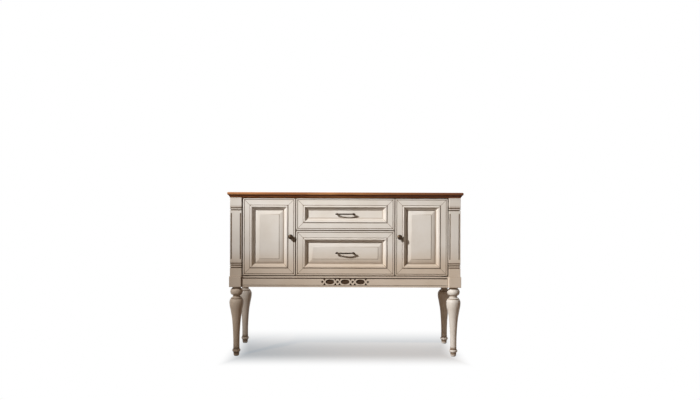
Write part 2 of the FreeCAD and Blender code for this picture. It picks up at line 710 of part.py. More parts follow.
def make_frame(name, x, z):
    """Two stiles and two rails, mitred at the corners, round an opening between x and z spans."""
    def behind(distance):
        return f"face_front + ({distance})"

    corner = {
        "left": lambda distance: f"{x[0]} + ({distance})", "right": lambda distance: f"{x[1]} - ({distance})",
        "low": lambda distance: f"{z[0]} + ({distance})", "high": lambda distance: f"{z[1]} - ({distance})",
    }
    members = {}
    for edge in ("left", "right"):
        body = new_body(f"{name}_{edge}_stile")
        pad(body, "XY", [frame_section(corner[edge], behind)], f"{z[1]} - ({z[0]})", z[0])
        ends = []
        for end in ("low", "high"):
            ends.append([(corner[edge]("0"), corner[end]("0")),
                         (corner[edge]("frame_width"), corner[end]("0")),
                         (corner[edge]("frame_width"), corner[end]("frame_width"))])
        saw(body, "XZ", ends, "top_depth")
        members[edge] = body
    for edge in ("low", "high"):
        body = new_body(f"{name}_{edge}_rail")
        section = frame_section(corner[edge], behind)
        swapped = [(point[1], point[0]) + point[2:] for point in section]
        pad(body, "YZ", [swapped], f"{x[1]} - ({x[0]})", x[0])
        ends = []
        for end in ("left", "right"):
            ends.append([(corner[end]("0"), corner[edge]("0")),
                         (corner[end]("0"), corner[edge]("frame_width")),
                         (corner[end]("frame_width"), corner[edge]("frame_width"))])
        saw(body, "XZ", ends, "top_depth")
        members[edge] = body
    return members


def make_panel(name, x, z, raised):
    """A panel whose tongue lies in the frame's groove, with a bevelled and raised field where it has one."""
    def inset(span, distance):
        return (f"{span[0]} + {distance}", f"{span[1]} - ({distance})")

    tongue = "frame_width - groove_depth + tongue_clearance"
    face = "face_front + panel_set"
    slab = board(f"{name}_tongue", inset(x, tongue), (face, f"{face} + tongue_thickness"), inset(z, tongue))
    if not raised:
        return keep(name, slab)
    inner = "frame_width + panel_bevel"
    bevel = doc.addObject("Part::Wedge", f"{name}_bevel")
    edges = (("X", inset(x, inner), inset(x, "frame_width")), ("Z", inset(z, inner), inset(z, "frame_width")))
    for axis, front, behind in edges:
        for end, near, far in zip(("min", "max"), front, behind):
            bind(bevel, f"{axis}{end}", near)
            bind(bevel, f"{axis}2{end}", far)
    bind(bevel, "Ymin", "face_front + field_set + field_step")
    bind(bevel, "Ymax", face)
    field = board(f"{name}_field", inset(x, inner), ("face_front + field_set", face), inset(z, inner))
    return keep(name, joined(name, slab, bevel, field))


def knob_outline():
    """The turned knob's outline in radius and height: a rose, a neck and a flattened head."""
    return [
        ("0", "0"), ("rose_radius", "0"), ("rose_radius", "rose_height / 2"),
        ("knob_neck_radius", "2 * rose_height"), ("knob_neck_radius", "knob_neck_height"),
        ("knob_rim_radius", "knob_rim_low"), ("knob_radius", "(knob_rim_low + knob_rim_high) / 2", "on"),
        ("knob_rim_radius", "knob_rim_high"), ("knob_dome_radius", "knob_dome_height", "on"),
        ("knob_tip_radius", "knob_projection"), ("0", "knob_projection"),
    ]


def make_door(side):
    """One door: a mitred frame round a raised panel, a knob, pivot leaves in the rails and a strike."""
    name = f"{side}_door"
    x, z = sided(side, "door_free", "door_edge"), ("front_low", "front_high")
    members = make_frame(name, x, z)
    keep(f"{name}_stiles", grouped(f"{name}_stiles", members["left"], members["right"]))
    pivots = []
    rails = []
    reach = "front_gap + leaf_thickness + pivot_tip"
    ends = (("low", ("front_low", "front_low + leaf_thickness"), f"front_low - ({reach})"),
            ("high", ("front_high - leaf_thickness", "front_high"), "front_high"))
    for end, span, start in ends:
        plate = leaf(f"{name}_{end}_leaf", side, span)
        pin = rod(f"{name}_{end}_pin", "pivot_radius", reach, *pivot_place(side), start)
        rails.append(cut(f"{name}_{end}_let_in", members[end], plate))
        pivots.append(joined(f"{name}_{end}_pivot", plate, pin))
    keep(f"{name}_rails", grouped(f"{name}_rails", *rails))
    keep(f"{name}_pivots", grouped(f"{name}_pivots", *pivots))
    make_panel(f"{name}_panel", x, z, True)

    knob = new_body(f"{name}_knob")
    spin(knob, knob_outline())
    knob.Placement.Rotation = TO_FRONT
    place(knob, across(side, "door_free + knob_inset"), "face_front", "(front_low + front_high) / 2")
    keep(f"{name}_knob", knob)

    middle = "door_free + catch_offset"
    width = sided(side, f"{middle} - catch_width / 2", f"{middle} + catch_width / 2")
    keep(f"{name}_strike", board(f"{name}_strike", width, ("face_back", "face_back + strike_thickness"),
                                 ("front_high - catch_height", "front_high")))
    face = "face_back + strike_thickness + catch_gap"
    height = ("case_top - catch_height", "case_top")
    return board(f"{side}_catch", width, (face, f"{face} + catch_depth"), height)


def make_pull(name, back, z):
    """A bow pull: two feet, a round bar bent between them and a small ball beyond each foot."""
    bow = doc.addObject("Part::Torus", f"{name}_bow")
    half_angle = "asin(pull_half / pull_bow_radius)"
    bind(bow, "Radius1", "pull_bow_radius")
    bind(bow, "Radius2", "pull_bar_radius")
    bind(bow, "Angle3", f"2 * {half_angle}")
    bow.Placement.Rotation = FreeCAD.Rotation(FreeCAD.Vector(0, 0, 1), -90)
    bind(bow, "Placement.Rotation.Angle", f"90 deg + {half_angle}")
    bind(bow, "Placement.Rotation.Axis.z", "-1")
    place(bow, "0", f"{back} - pull_foot_height + pull_bow_radius - pull_rise", z)
    pieces = [bow]
    for side in SIDES:
        x = across(side, "pull_half")
        tip = across(side, "pull_half + finial_reach")
        middle = f"{back} - pull_foot_height"
        stem = "pull_foot_height + pull_bar_radius / 2"
        start = sided(side, "pull_half", "pull_half + finial_reach")[0]
        part = f"{name}_{side}"
        pieces.append(rod(f"{part}_foot", "pull_foot_radius", stem, x, back, z, TO_FRONT))
        pieces.append(rod(f"{part}_neck", "finial_neck_radius", "finial_reach", start, middle, z, ALONG_X))
        pieces.append(ball(f"{part}_finial", "finial_radius", tip, middle, z))
    return keep(name, joined(name, *pieces))


def rail_middle(low):
    """The height of a drawer's slides, from the underside of its box."""
    return f"{low} + box_lift + box_bottom_lift + rail_lift"


def make_rail(name, side, low):
    """The case's half of a drawer slide: a channel along the partition, open towards the drawer."""
    body = new_body(name)
    z = rail_middle(low)
    outer, web = "partition_inner", "partition_inner - rail_sheet"
    lip = f"{web} - rail_flange"
    low_z, high_z = f"{z} - rail_height / 2", f"{z} + rail_height / 2"
    floor, roof = f"{low_z} + rail_sheet", f"{high_z} - rail_sheet"
    outline = [(outer, low_z), (outer, high_z), (lip, high_z), (lip, roof), (web, roof), (web, floor),
               (lip, floor), (lip, low_z)]
    section = [(across(side, x), y) for x, y in outline]
    pad(body, "XZ", [section], "rail_back - carcass_front", "-rail_back")
    return body


def make_drawer(name, low, high, box_height, raised):
    """One drawer: a moulded front on a box of boards, with a pull and a slide bar on each side."""
    x, z = ("-drawer_half", "drawer_half"), (low, high)
    members = make_frame(name, x, z)
    keep(f"{name}_stiles", grouped(f"{name}_stiles", members["left"], members["right"]))
    keep(f"{name}_rails", grouped(f"{name}_rails", members["low"], members["high"]))
    make_panel(f"{name}_panel", x, z, raised)
    panel_face = "face_front + field_set" if raised else "face_front + panel_set"
    make_pull(f"{name}_pull", panel_face, f"({low} + {high}) / 2")

    height = (f"{low} + box_lift", f"{low} + box_lift + {box_height}")
    inside = ("-box_half + box_board", "box_half - box_board")
    depth = ("face_back + box_board", "box_back")
    keep(f"{name}_box_front", board(f"{name}_box_front", ("-box_half", "box_half"),
                                    ("face_back", depth[0]), height))
    walls = [board(f"{name}_{side}_wall", sided(side, "box_half - box_board", "box_half"), depth, height)
             for side in SIDES]
    keep(f"{name}_sides", grouped(f"{name}_sides", *walls))
    keep(f"{name}_back", board(f"{name}_back", inside, ("box_back - box_board", "box_back"), height))
    floor = f"{low} + box_lift + box_bottom_lift"
    keep(f"{name}_bottom", board(f"{name}_bottom", inside, (depth[0], "box_back - box_board"),
                                 (floor, f"{floor} + box_bottom_thickness")))
    half = "(rail_height / 2 - rail_sheet - rail_clearance)"
    bar_height = (f"{rail_middle(low)} - {half}", f"{rail_middle(low)} + {half}")
    bars = [board(f"{name}_{side}_bar", sided(side, "box_half", "box_half + bar_thickness"),
                  ("carcass_front", "box_back"), bar_height) for side in SIDES]
    keep(f"{name}_slide_bars", grouped(f"{name}_slide_bars", *bars))
    return [make_rail(f"{name}_{side}_rail", side, low) for side in SIDES]


def check_pieces():
    """Stop before anything is written if a feature failed or a piece is empty or broken."""
    for item in doc.Objects:
        if {"Invalid", "Error"} & set(item.State):
            raise RuntimeError(f"{item.Name} ({item.Label}) failed: {item.State}")
    for label, piece in nodes.items():
        if piece.Label != label:
            raise RuntimeError(f"{label} is labelled {piece.Label}")
        if piece.Shape.isNull() or not piece.Shape.isValid() or not piece.Shape.Solids:
            raise RuntimeError(f"{label} has no valid solid")


def main():
    fill_sheet()
    make_top()
    blanks = make_pivot_plates()
    make_trim(blanks["top"])
    bolts = make_bolts()
    make_posts(bolts)
    pins = make_shelves()
    make_side_panels(pins)
    make_partitions(pins)
    make_bottom_and_back(blanks["bottom"])
    make_aprons()
    make_legs(bolts)
    catches = [make_door(side) for side in SIDES]
    keep("door_catches", grouped("door_catches", *catches))
    rails = make_drawer("upper_drawer", "upper_low", "front_high", "upper_box_height", False)
    rails += make_drawer("lower_drawer", "front_low", "lower_high", "lower_box_height", True)
    keep("drawer_rails", grouped("drawer_rails", *rails))
    doc.recompute()
    check_pieces()
    os.makedirs("parts", exist_ok=True)
    for label, piece in nodes.items():
        piece.Shape.exportStep(f"parts/{label}.step")
        box = piece.Shape.BoundBox
        print(f"{label}: {len(piece.Shape.Solids)} solids, x {box.XMin:.1f} to {box.XMax:.1f}, "
              f"y {box.YMin:.1f} to {box.YMax:.1f}, z {box.ZMin:.1f} to {box.ZMax:.1f}")


main()
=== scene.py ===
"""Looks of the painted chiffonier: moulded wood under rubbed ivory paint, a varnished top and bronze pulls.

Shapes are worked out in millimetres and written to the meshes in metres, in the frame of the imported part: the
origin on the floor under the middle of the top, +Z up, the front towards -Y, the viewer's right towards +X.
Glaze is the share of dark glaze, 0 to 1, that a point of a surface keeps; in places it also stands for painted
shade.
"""
import math

import bmesh
import bpy
import numpy as np
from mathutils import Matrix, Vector


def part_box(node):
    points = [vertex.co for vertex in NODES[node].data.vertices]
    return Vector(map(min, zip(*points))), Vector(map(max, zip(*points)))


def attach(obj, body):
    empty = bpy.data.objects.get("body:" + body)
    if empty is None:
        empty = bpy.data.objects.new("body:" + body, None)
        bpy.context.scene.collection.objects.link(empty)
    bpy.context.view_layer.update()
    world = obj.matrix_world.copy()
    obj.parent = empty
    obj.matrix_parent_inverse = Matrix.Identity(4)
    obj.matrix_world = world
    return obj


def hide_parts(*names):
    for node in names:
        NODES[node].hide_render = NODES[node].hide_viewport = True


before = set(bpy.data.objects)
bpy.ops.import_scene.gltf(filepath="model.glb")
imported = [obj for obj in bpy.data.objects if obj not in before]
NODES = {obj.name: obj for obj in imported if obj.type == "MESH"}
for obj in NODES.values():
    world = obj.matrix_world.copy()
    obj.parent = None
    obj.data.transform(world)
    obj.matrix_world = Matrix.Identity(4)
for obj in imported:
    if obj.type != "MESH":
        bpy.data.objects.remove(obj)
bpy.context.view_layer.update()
MM = 0.001
scene = bpy.context.scene

# Section of a door or drawer frame: u runs in from its outer edge, v back from its face.
LEAF_SHOW = 0.15
EDGE_EASE = 1.2
LIP = 9.0
LINE = 2.2
LINE_DEPTH = 1.9
FLAT_END = 42.5
QUIRK_DEPTH = 2.6
BEAD_END = 56.0
BEAD_RISE = 3.0
BEAD_POINTS = 13
COVE_DROP = 15.0
COVE_SAG = 1.3
COVE_POINTS = 14
FRAME_WIDTH = 72.0
GROOVE_FLOOR = 64.0
GROOVE_BACK = 23.0
FRONT_THICKNESS = 27.0

# Rows of u, v and glaze, from the back of the frame's edge over its lip, line and flat to the quirk. The dark
# glaze on the side of the edge and its eased corner is painted shade in the gaps between the fronts.
FRAME_EDGE = (
    (LEAF_SHOW, FRONT_THICKNESS, 0.1), (LEAF_SHOW, EDGE_EASE + 5.0, 0.15), (LEAF_SHOW, EDGE_EASE + 2.5, 0.95),
    (LEAF_SHOW, EDGE_EASE, 0.9), (0.5, 0.35, 0.8), (EDGE_EASE, 0.0, 0.6), (2.4, 0.0, 0.0),
    (LIP - 1.2, 0.0, 0.0), (LIP - 0.6, 0.0, 0.75), (LIP + 0.7 * LINE, LINE_DEPTH, 1.0), (LIP + LINE, 0.0, 0.7),
    (LIP + LINE + 0.8, 0.0, 0.01), (FLAT_END - 1.8, 0.0, 0.01), (FLAT_END - 0.6, 0.0, 0.35),
    (FLAT_END + 0.3 * LINE, QUIRK_DEPTH, 0.9),
)

# Glaze of the frame: the bead's crown and feet, the cove's start, its hollow and its seam at the panel. The
# cove's start is kept light on shaded edges and dark on the others, as painted light and shade.
BEAD_GLAZE = 0.02
BEAD_FOOT_GLAZE = 0.5
BEAD_FALL = 10
COVE_START_SHADED = 0.1
COVE_START_GLAZE_AND_SHADE = 0.6
COVE_FALL = 6
RAISED_COVE_GLAZE = 0.11
RAISED_SEAM_GLAZE = 0.65
FLAT_COVE_GLAZE = 0.18
# On the flat panel the seam's glaze is partly a dark seam and partly painted shadow of the frame.
FLAT_SEAM_GLAZE_AND_SHADE = 0.4
GROOVE_GLAZE = 0.5
BACK_GLAZE = 0.2

# Mitre of the frame: how far its face dips, and the glaze at a few distances from it.
MITRE_NICK = 0.6
MITRE_STATIONS = np.array([0.0, 0.6, 1.3, 2.8])
MITRE_GLAZE = np.array([0.75, 0.6, 0.25, 0.0])

# Panel, as rows of distance in from the front's outer edge, depth behind its face, and glaze.
TONGUE_END = 64.5
TONGUE_GLAZE = 0.03
FLAT_SET = 17.0
RAISED_SET = 18.5
FIELD_SET = 10.5
# The flat panel's dark edge is partly glaze in the seam and partly painted shadow of the frame.
FLAT_PANEL = (
    (FRAME_WIDTH, FLAT_SET, 0.4), (73.6, FLAT_SET, 0.25), (75.6, FLAT_SET, 0.03), (81.0, FLAT_SET, 0.0),
)
RAISED_PANEL = (
    (FRAME_WIDTH, RAISED_SET, 0.75), (73.0, RAISED_SET, 0.55), (74.0, 18.2, 0.16), (83.0, 14.9, 0.1),
    (84.2, 14.6, 0.05), (96.0, 12.3, 0.06), (97.2, 12.1, 0.55), (98.0, 10.8, 0.5), (99.0, FIELD_SET, 0.2),
    (100.4, FIELD_SET, 0.02), (103.0, FIELD_SET, 0.0),
)
# Share of a raised panel's glaze that is kept at its lower left, lower right, upper right and upper left:
# lighter towards the lamp and darker away from it, as painted light and shade.
PANEL_PAINTED_SHADE = np.array([0.6, 1.4, 1.0, 0.2])

# Pilaster carving: flutes, and rings with their places down from the head or up from the foot, and widths.
FLUTE_RADIUS = 3.6
FLUTE_STANDOFF = 0.2
FLUTE_REACH = 3.7
FLUTE_INSET = 8.0
FLUTE_FOOT_RISE = 105.0
FLUTE_TOP_DROP = 97.0
FLUTE_GLAZE = 0.8
FLUTE_GLAZED_DEPTH = 2.4
RING_DEPTH = 3.5
RING_WALL = 0.5
RING_ROUND = 1.6
RING_EASE = 0.45
RING_MARGIN = 0.4
RING_SHADE = 3.2
CAPITAL_RINGS = ((62.0, 2.6), (75.0, 5.5))
PLINTH_RINGS = ((78.8, 2.6), (66.2, 5.5), (53.0, 5.5))

# Post: its rounded corner beside the door, its glaze, and how finely its surface is divided. The glaze on its
# side beside the door is painted shade in the gap.
POST_ROUND = 4.2
POST_GLAZE = 0.09
POST_CORNER_GLAZE = 0.16
POST_GAP_SHADE = 0.7
POST_FOOT_FADE = 2.5
POST_FOOT_GLAZE = 0.5
# At the head, under the trim, the glaze is partly a dark joint and partly painted shade.
POST_HEAD_FADE = 3.0
POST_HEAD_GLAZE_AND_SHADE = 0.6
POST_ROWS = 24
RING_ROWS = 45
FLUTE_END_ROWS = 19
FLUTE_END_OUT, FLUTE_END_IN = 5.0, 1.0
POST_END_ROWS = (0.6, 2.0)
POST_BACK_COLUMN = 20.0
POST_SIDE_COLUMN = 24.0
FLUTE_COLUMNS = 27
FACE_COLUMNS = 11

# Turned leg: its block, depth that the turning reaches into the block, and its hollows, which are places with
# widths and glaze, up from the floor and down from the block. The band just under the block is painted shade.
BLOCK_HALF = 39.0
BLOCK_EASE = 1.6
BLOCK_WEAR = 0.22
# Chamfer of a front block; the dark glaze on the left block's chamfer is painted shade.
BLOCK_CHAMFER = 8.0
CHAMFER_MARGIN = 1.0
CHAMFER_PAINTED_SHADE = 0.7
LEG_INTO_BLOCK = 4.0
LEG_ARC_POINTS = 14
LEG_GLAZE = 0.04
FOOT_HOLLOWS = ((24.0, 2.4, 0.7), (42.5, 2.6, 0.75))
HEAD_HOLLOWS_AND_SHADE = ((71.5, 1.6, 0.55), (56.0, 9.0, 0.3), (46.5, 3.0, 0.5), (5.0, 6.5, 0.95))

# Knob turning, out from the door's face.
KNOB_TURNING = (
    ((10.5, 0.0), (10.5, 1.5)), ((10.5, 1.5), (5.0, 6.0)), ((5.0, 6.0), (5.0, 9.0)),
    ((5.0, 9.0), (12.5, 13.5)), ((12.5, 13.5), (15.0, 17.0), (12.5, 20.5)),
    ((12.5, 20.5), (8.5, 23.4), (3.0, 25.0)), ((3.0, 25.0), (0.5, 25.0)),
)
KNOB_SEGMENTS = 56

# Bow pull: its bent bar, and the turnings of its feet and finials.
PULL_HALF = 48.0
PULL_RISE = 9.0
PULL_BAR_RADIUS = 3.5
PULL_BAR_SWELL = 0.7
PULL_BAR_STEPS = 37
PULL_BAR_SIDES = 18
PULL_FOOT_HEIGHT = 17.0
PULL_FOOT = (
    ((6.6, 0.0), (6.6, 1.0)), ((6.6, 1.0), (5.7, 2.8)), ((5.7, 2.8), (5.2, 12.0)),
    ((5.2, 12.0), (6.0, 16.7), (3.6, 20.5)), ((3.6, 20.5), (0.4, 21.0)),
)
FINIAL = (
    ((2.4, 0.0), (2.4, 3.2)), ((2.4, 3.2), (3.1, 3.6)), ((3.1, 3.6), (4.2, 8.0), (0.4, 12.2)),
)
PULL_SEGMENTS = 24

# Top board. The slope under its nose is in shares of its height, inwards and up; a shade is heights up from the
# foot of a piece, and the painted shade there: under the nose, and at the trim's top and foot.
NOSE_TOP = 5.0
NOSE_UNDER = 5.2
NOSE_SLOPE = np.array([(1, 0), (0.9, 0.05), (0.12, 0.88), (0.03, 0.97), (0, 1.1)])
NOSE_MARGIN = 2.0
NOSE_STEPS = 10
NOSE_CORNER = 4.0
NOSE_CORNER_STEPS = 7
NOSE_SHADE = ((0.0, 0.7, 1.8), (0.9, 0.6, 0.0))

# Trim under the top.
TRIM_FILLET = 5.5
TRIM_FOOT = 1.5
TRIM_COVE = 1.0
TRIM_WIDTH = 60.0
TRIM_SHADE = ((0.0, 1.5, 3.5, 11.0, 12.2, 13.0), (0.7, 0.4, 0.0, 0.0, 0.5, 0.8))

# Panels at the ends of the case.
SIDE_BORDER = 52.0
SIDE_BEVEL = 24.0
SIDE_RISE = 5.0

# Boards with eased edges, and the angles past which an edge stays crisp.
BOARD_EASE = 1.2
BOARD_WEAR = 0.3
BOX_EASE = 0.8
EASE_STEPS = 4
EDGE_MARGIN = 3.0
SHARP_ANGLE = 30
PANEL_SHARP_ANGLE = 8

# Bands over which glaze rises on the apron, from its face, foot, head and ends, and the glaze there. At the
# head and ends it is painted shade, under the bottom board and beside the leg blocks.
PIERCED_START = (0.4, 1.2)
PIERCED_END = (6.0, 7.0)
APRON_FOOT = (8.0, 14.0)
APRON_FOOT_GLAZE = 0.16
APRON_LOW_EDGE = (0.0, 2.5)
APRON_LOW_GLAZE = 0.3
APRON_HIGH_EDGE = (-2.5, 0.0)
APRON_HIGH_SHADE = 0.6
APRON_END = (-6.0, 0.0)
APRON_END_SHADE = 0.45

# Bands over which painted shade rises on the bottom board, from its rebate, its upper face and its front edge.
REBATE_HEIGHT = 5.0
REBATE_EDGE = (-0.8, 0.2)
REBATE_REACH = (18.0, 24.0)
FLOOR_CORNER = (-2.2, -1.0)
FLOOR_CORNER_REACH = (1.5, 3.0)


def new_object(name, data):
    """A new object in the scene, at the origin."""
    thing = bpy.data.objects.new(name, data)
    scene.collection.objects.link(thing)
    return thing


def box_of(node):
    """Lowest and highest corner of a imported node, in millimetres."""
    low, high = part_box(node)
    return np.array(low) / MM, np.array(high) / MM


def arc(start, middle, end, count=12):
    """Points of the circle through three points, at equal angles from the first point to the last."""
    first, via, last = (np.asarray(point, float) for point in (start, middle, end))
    p, q = via - first, last - first
    offset = np.array([q[1] * (p @ p) - p[1] * (q @ q), p[0] * (q @ q) - q[0] * (p @ p)])
    centre = first + offset / (2 * (p[0] * q[1] - p[1] * q[0]))
    angles = [math.atan2(*(point - centre)[::-1]) for point in (first, via, last)]
    sweep = (angles[2] - angles[0]) % math.tau
    if (angles[1] - angles[0]) % math.tau > sweep:
        sweep -= math.tau
    turn = angles[0] + np.linspace(0, sweep, count)
    return centre + np.hypot(*(first - centre)) * np.stack([np.cos(turn), np.sin(turn)], axis=-1)


def outline(runs, count=12):
    """One open outline through runs that are straight (two points) or arcs (three points)."""
    parts = [arc(*run, count) if len(run) == 3 else np.asarray(run, float) for run in runs]
    return np.concatenate([part[:-1] for part in parts] + [parts[-1][-1:]])


def rectangle(low, high):
    """Corners of a rectangle, counter-clockwise from the low corner."""
    return [(low[0], low[1]), (high[0], low[1]), (high[0], high[1]), (low[0], high[1])]


def rounded_outline(corners, radius):
    """A ring round a convex outline with rounded corners, counter-clockwise.

    Each corner is an arc that touches its two sides; each side has a point a small margin in from its two
    corners, so that what happens at an edge stays at the edge. The second result is 1 at the corners and 0
    along the sides.
    """
    corners = np.asarray(corners, float)
    leaving = np.roll(corners, -1, axis=0) - corners
    leaving /= np.linalg.norm(leaving, axis=1, keepdims=True)
    arriving = np.roll(leaving, 1, axis=0)
    points, weights = [], []
    for corner, come, go in zip(corners, arriving, leaving):
        bend = math.acos(come @ go)
        start = corner - come * radius * math.tan(bend / 2)
        centre = start + radius * np.array([-come[1], come[0]])
        turn = math.atan2(-come[0], come[1]) + np.linspace(0, bend, EASE_STEPS)
        curve = centre + radius * np.stack([np.cos(turn), np.sin(turn)], axis=-1)
        points += [curve[:1] - EDGE_MARGIN * come, curve, curve[-1:] + EDGE_MARGIN * go]
        weights += [0.0] + [1.0] * EASE_STEPS + [0.0]
    return np.concatenate(points), np.array(weights)


def eased_board(low, high, ease=BOARD_EASE, wear=BOARD_WEAR, corners=None):
    """A board with all its edges rounded.

    A rounded outline is carried up and drawn in along a quarter circle at each end. The outline is a rectangle
    unless other corners are given.
    """
    turn = np.linspace(0, math.pi / 2, EASE_STEPS)
    inset = np.concatenate([ease * (1 - np.sin(turn)), [0.0]])
    lift = np.concatenate([ease * (1 - np.cos(turn)), [ease + EDGE_MARGIN]])
    inset = np.concatenate([[ease + EDGE_MARGIN], inset, inset[::-1], [ease + EDGE_MARGIN]])
    height = np.concatenate([[low[2]], low[2] + lift, (high[2] - lift)[::-1], [high[2]]])
    at_end = np.concatenate([[0.0], np.ones(EASE_STEPS), [0.0, 0.0], np.ones(EASE_STEPS), [0.0]])
    base, corner = rounded_outline(corners or rectangle(low, high), ease)
    middle = (low[:2] + high[:2]) / 2
    half = (high[:2] - low[:2]) / 2
    shrink = (half[None] - inset[:, None]) / half[None]
    flat = middle + (base - middle)[None] * shrink[:, None, :]
    rings = np.concatenate([flat, np.broadcast_to(height[:, None, None], flat.shape[:2] + (1,))], axis=-1)
    return rings, wear * np.maximum(at_end[:, None], corner[None])


def lathe(profile, centre, axis="z", way=1, segments=72):
    """A turning: each point of the profile, a radius and a distance along the axis, makes one circle."""
    turn = np.linspace(0, math.tau, segments, endpoint=False)
    radius, along = profile[:, 0, None], np.broadcast_to(profile[:, 1, None] * way, (len(profile), segments))
    wide, deep = radius * np.cos(turn), radius * np.sin(turn)
    order = {"z": (wide, deep, along), "y": (wide, along, deep), "x": (along, wide, deep)}[axis]
    return np.stack(order, axis=-1) + np.asarray(centre, float)


def hollows(height, places):
    """Glaze at each height: the highest of the bell curves, of a given width and share, about the hollows."""
    spots = np.array(places)
    return (spots[:, 2] * np.exp(-((height[..., None] - spots[:, 0]) / spots[:, 1]) ** 2)).max(axis=-1)


def frame_profile(raised, shaded):
    """The frame's closed section as rows of u, v and glaze.

    From the outer back edge it runs over an eased lip, a scratched line, a flat, a quirk, an arc for the bead
    and a hollow arc for the cove to the groove that holds the panel, and home along the back. On a shaded edge
    the dark line between the bead and the cove is left light, and on the others kept dark: painted light and
    shade.
    """
    if raised:
        panel_set, cove_wiped, seam = RAISED_SET, RAISED_COVE_GLAZE, RAISED_SEAM_GLAZE
    else:
        panel_set, cove_wiped, seam = FLAT_SET, FLAT_COVE_GLAZE, FLAT_SEAM_GLAZE_AND_SHADE
    start = FLAT_END + LINE
    bead = arc((start, 0), ((start + BEAD_END) / 2, -BEAD_RISE), (BEAD_END, 0), BEAD_POINTS)
    cove_middle = ((BEAD_END + FRAME_WIDTH - COVE_SAG) / 2, COVE_DROP / 2 + COVE_SAG)
    cove = arc((BEAD_END, 0), cove_middle, (FRAME_WIDTH, COVE_DROP), COVE_POINTS)
    bead_glaze = BEAD_GLAZE + BEAD_FOOT_GLAZE * np.abs(np.linspace(-1, 1, BEAD_POINTS)) ** BEAD_FALL
    cove_glaze = cove_wiped + (seam - cove_wiped) * np.linspace(0, 1, COVE_POINTS) ** COVE_FALL
    # Painted light and shade: the line at the cove's start is light on the upper and left edges, dark on the
    # others.
    cove_glaze[0] = COVE_START_SHADED if shaded else COVE_START_GLAZE_AND_SHADE
    groove = (
        (FRAME_WIDTH, panel_set, seam), (GROOVE_FLOOR, panel_set, seam), (GROOVE_FLOOR, GROOVE_BACK, seam),
        (FRAME_WIDTH, GROOVE_BACK, GROOVE_GLAZE), (FRAME_WIDTH, FRONT_THICKNESS, BACK_GLAZE),
    )
    bead_rows = np.column_stack([bead, bead_glaze])[:-1]
    cove_rows = np.column_stack([cove, cove_glaze])
    return np.concatenate([FRAME_EDGE, bead_rows, cove_rows, groove])


def frame_member(span, face, edge, raised):
    """A stile or rail: the frame's section carried along one edge of the front, with both ends mitred.

    The ends follow u at 45 degrees. Close to a mitre the face dips a little and the glaze gathers.
    """
    u, v, glaze = frame_profile(raised, edge in ("left", "high")).T
    x0, x1, z0, z1 = span
    upright = edge in ("left", "right")
    start, stop = (z0, z1) if upright else (x0, x1)
    stations = MITRE_STATIONS[:, None]
    along = np.concatenate([start + u + stations, (stop - u - stations)[::-1]])
    near = np.concatenate([MITRE_GLAZE, MITRE_GLAZE[::-1]])[:, None]
    dip = np.concatenate([MITRE_STATIONS, MITRE_STATIONS[::-1]])[:, None] == 0
    showing = (v < COVE_DROP)[None]
    depth = face + v + MITRE_NICK * (dip & showing)
    aside = {"left": x0 + u, "right": x1 - u, "low": z0 + u, "high": z1 - u}[edge]
    aside = np.broadcast_to(aside, along.shape)
    rings = np.stack([aside, depth, along] if upright else [along, depth, aside], axis=-1)
    return rings, np.maximum(glaze[None], near * showing)


def stepped_rings(span, steps, place):
    """Rectangles drawn in by each step's inset at its depth; place turns across, up and depth into a point."""
    inset, depth = steps[:, 0, None], steps[:, 1, None]
    a0, a1, b0, b1 = span
    a = np.concatenate([a0 + inset, a1 - inset, a1 - inset, a0 + inset], axis=1)
    b = np.concatenate([b0 + inset, b0 + inset, b1 - inset, b1 - inset], axis=1)
    return place(a, b, np.broadcast_to(depth, a.shape)), np.broadcast_to(steps[:, 2, None], a.shape)


def front_panel(span, face, raised):
    """A panel from its tongue in the groove to a flat field: rectangles drawn in step by step.

    A raised panel has a hollowed bevel and a rounded step, and its glaze is made lighter to the upper left and
    darker to the lower right, as painted light and shade.
    """
    edge = RAISED_PANEL if raised else FLAT_PANEL
    tongue = ((TONGUE_END, GROOVE_BACK, TONGUE_GLAZE), (TONGUE_END, *edge[0][1:]))
    steps = np.array(tongue + edge)
    rings, glaze = stepped_rings(span, steps, lambda a, b, v: np.stack([a, face + v, b], axis=-1))
    # Painted light and shade: the raised panel's glaze is lighter to the upper left and darker to the lower
    # right.
    return rings, np.minimum(glaze * PANEL_PAINTED_SHADE, 1) if raised else glaze


def end_panel(side):
    """The panel at one end of the case, facing outwards: a flat margin, a bevel and a raised field.

    It is a stack of rectangles drawn in step by step, as rows of inset, distance outwards and glaze.
    """
    low, high = box_of(f"{side}_side_panel")
    way = 1 if side == "right" else -1
    field = high[0] if side == "right" else -low[0]
    inside = low[0] if side == "right" else -high[0]
    face = field - SIDE_RISE
    run = SIDE_BORDER + SIDE_BEVEL
    steps = np.array([
        (0, inside, 0.1), (0, face, 0.45), (2, face, 0.2), (5, face, 0.03), (SIDE_BORDER - 2, face, 0.03),
        (SIDE_BORDER, face, 0.5), (SIDE_BORDER + 2.5, face + 0.55, 0.2), (SIDE_BORDER + 6, face + 1.25, 0.04),
        (run - 2, field - 0.4, 0.05), (run, field, 0.2), (run + 2.5, field, 0.02), (run + 5, field, 0.0),
    ])
    span = (low[1], high[1], low[2], high[2])
    return stepped_rings(span, steps, lambda a, b, v: np.stack([way * v, a, b], axis=-1))


def ring_inset(height, rings):
    """Depth of the carved rings at each height: square grooves with short walls and soft shoulders."""
    away = np.abs(height[:, None] - rings[:, 0]) - rings[:, 1] / 2
    groove = np.clip(-away / RING_WALL, 0, 1) * RING_DEPTH
    shoulder = RING_EASE * np.clip(1 - away / RING_ROUND, 0, 1) ** 2
    return np.maximum(groove, np.where(away < 0, RING_EASE, shoulder)).max(axis=1)


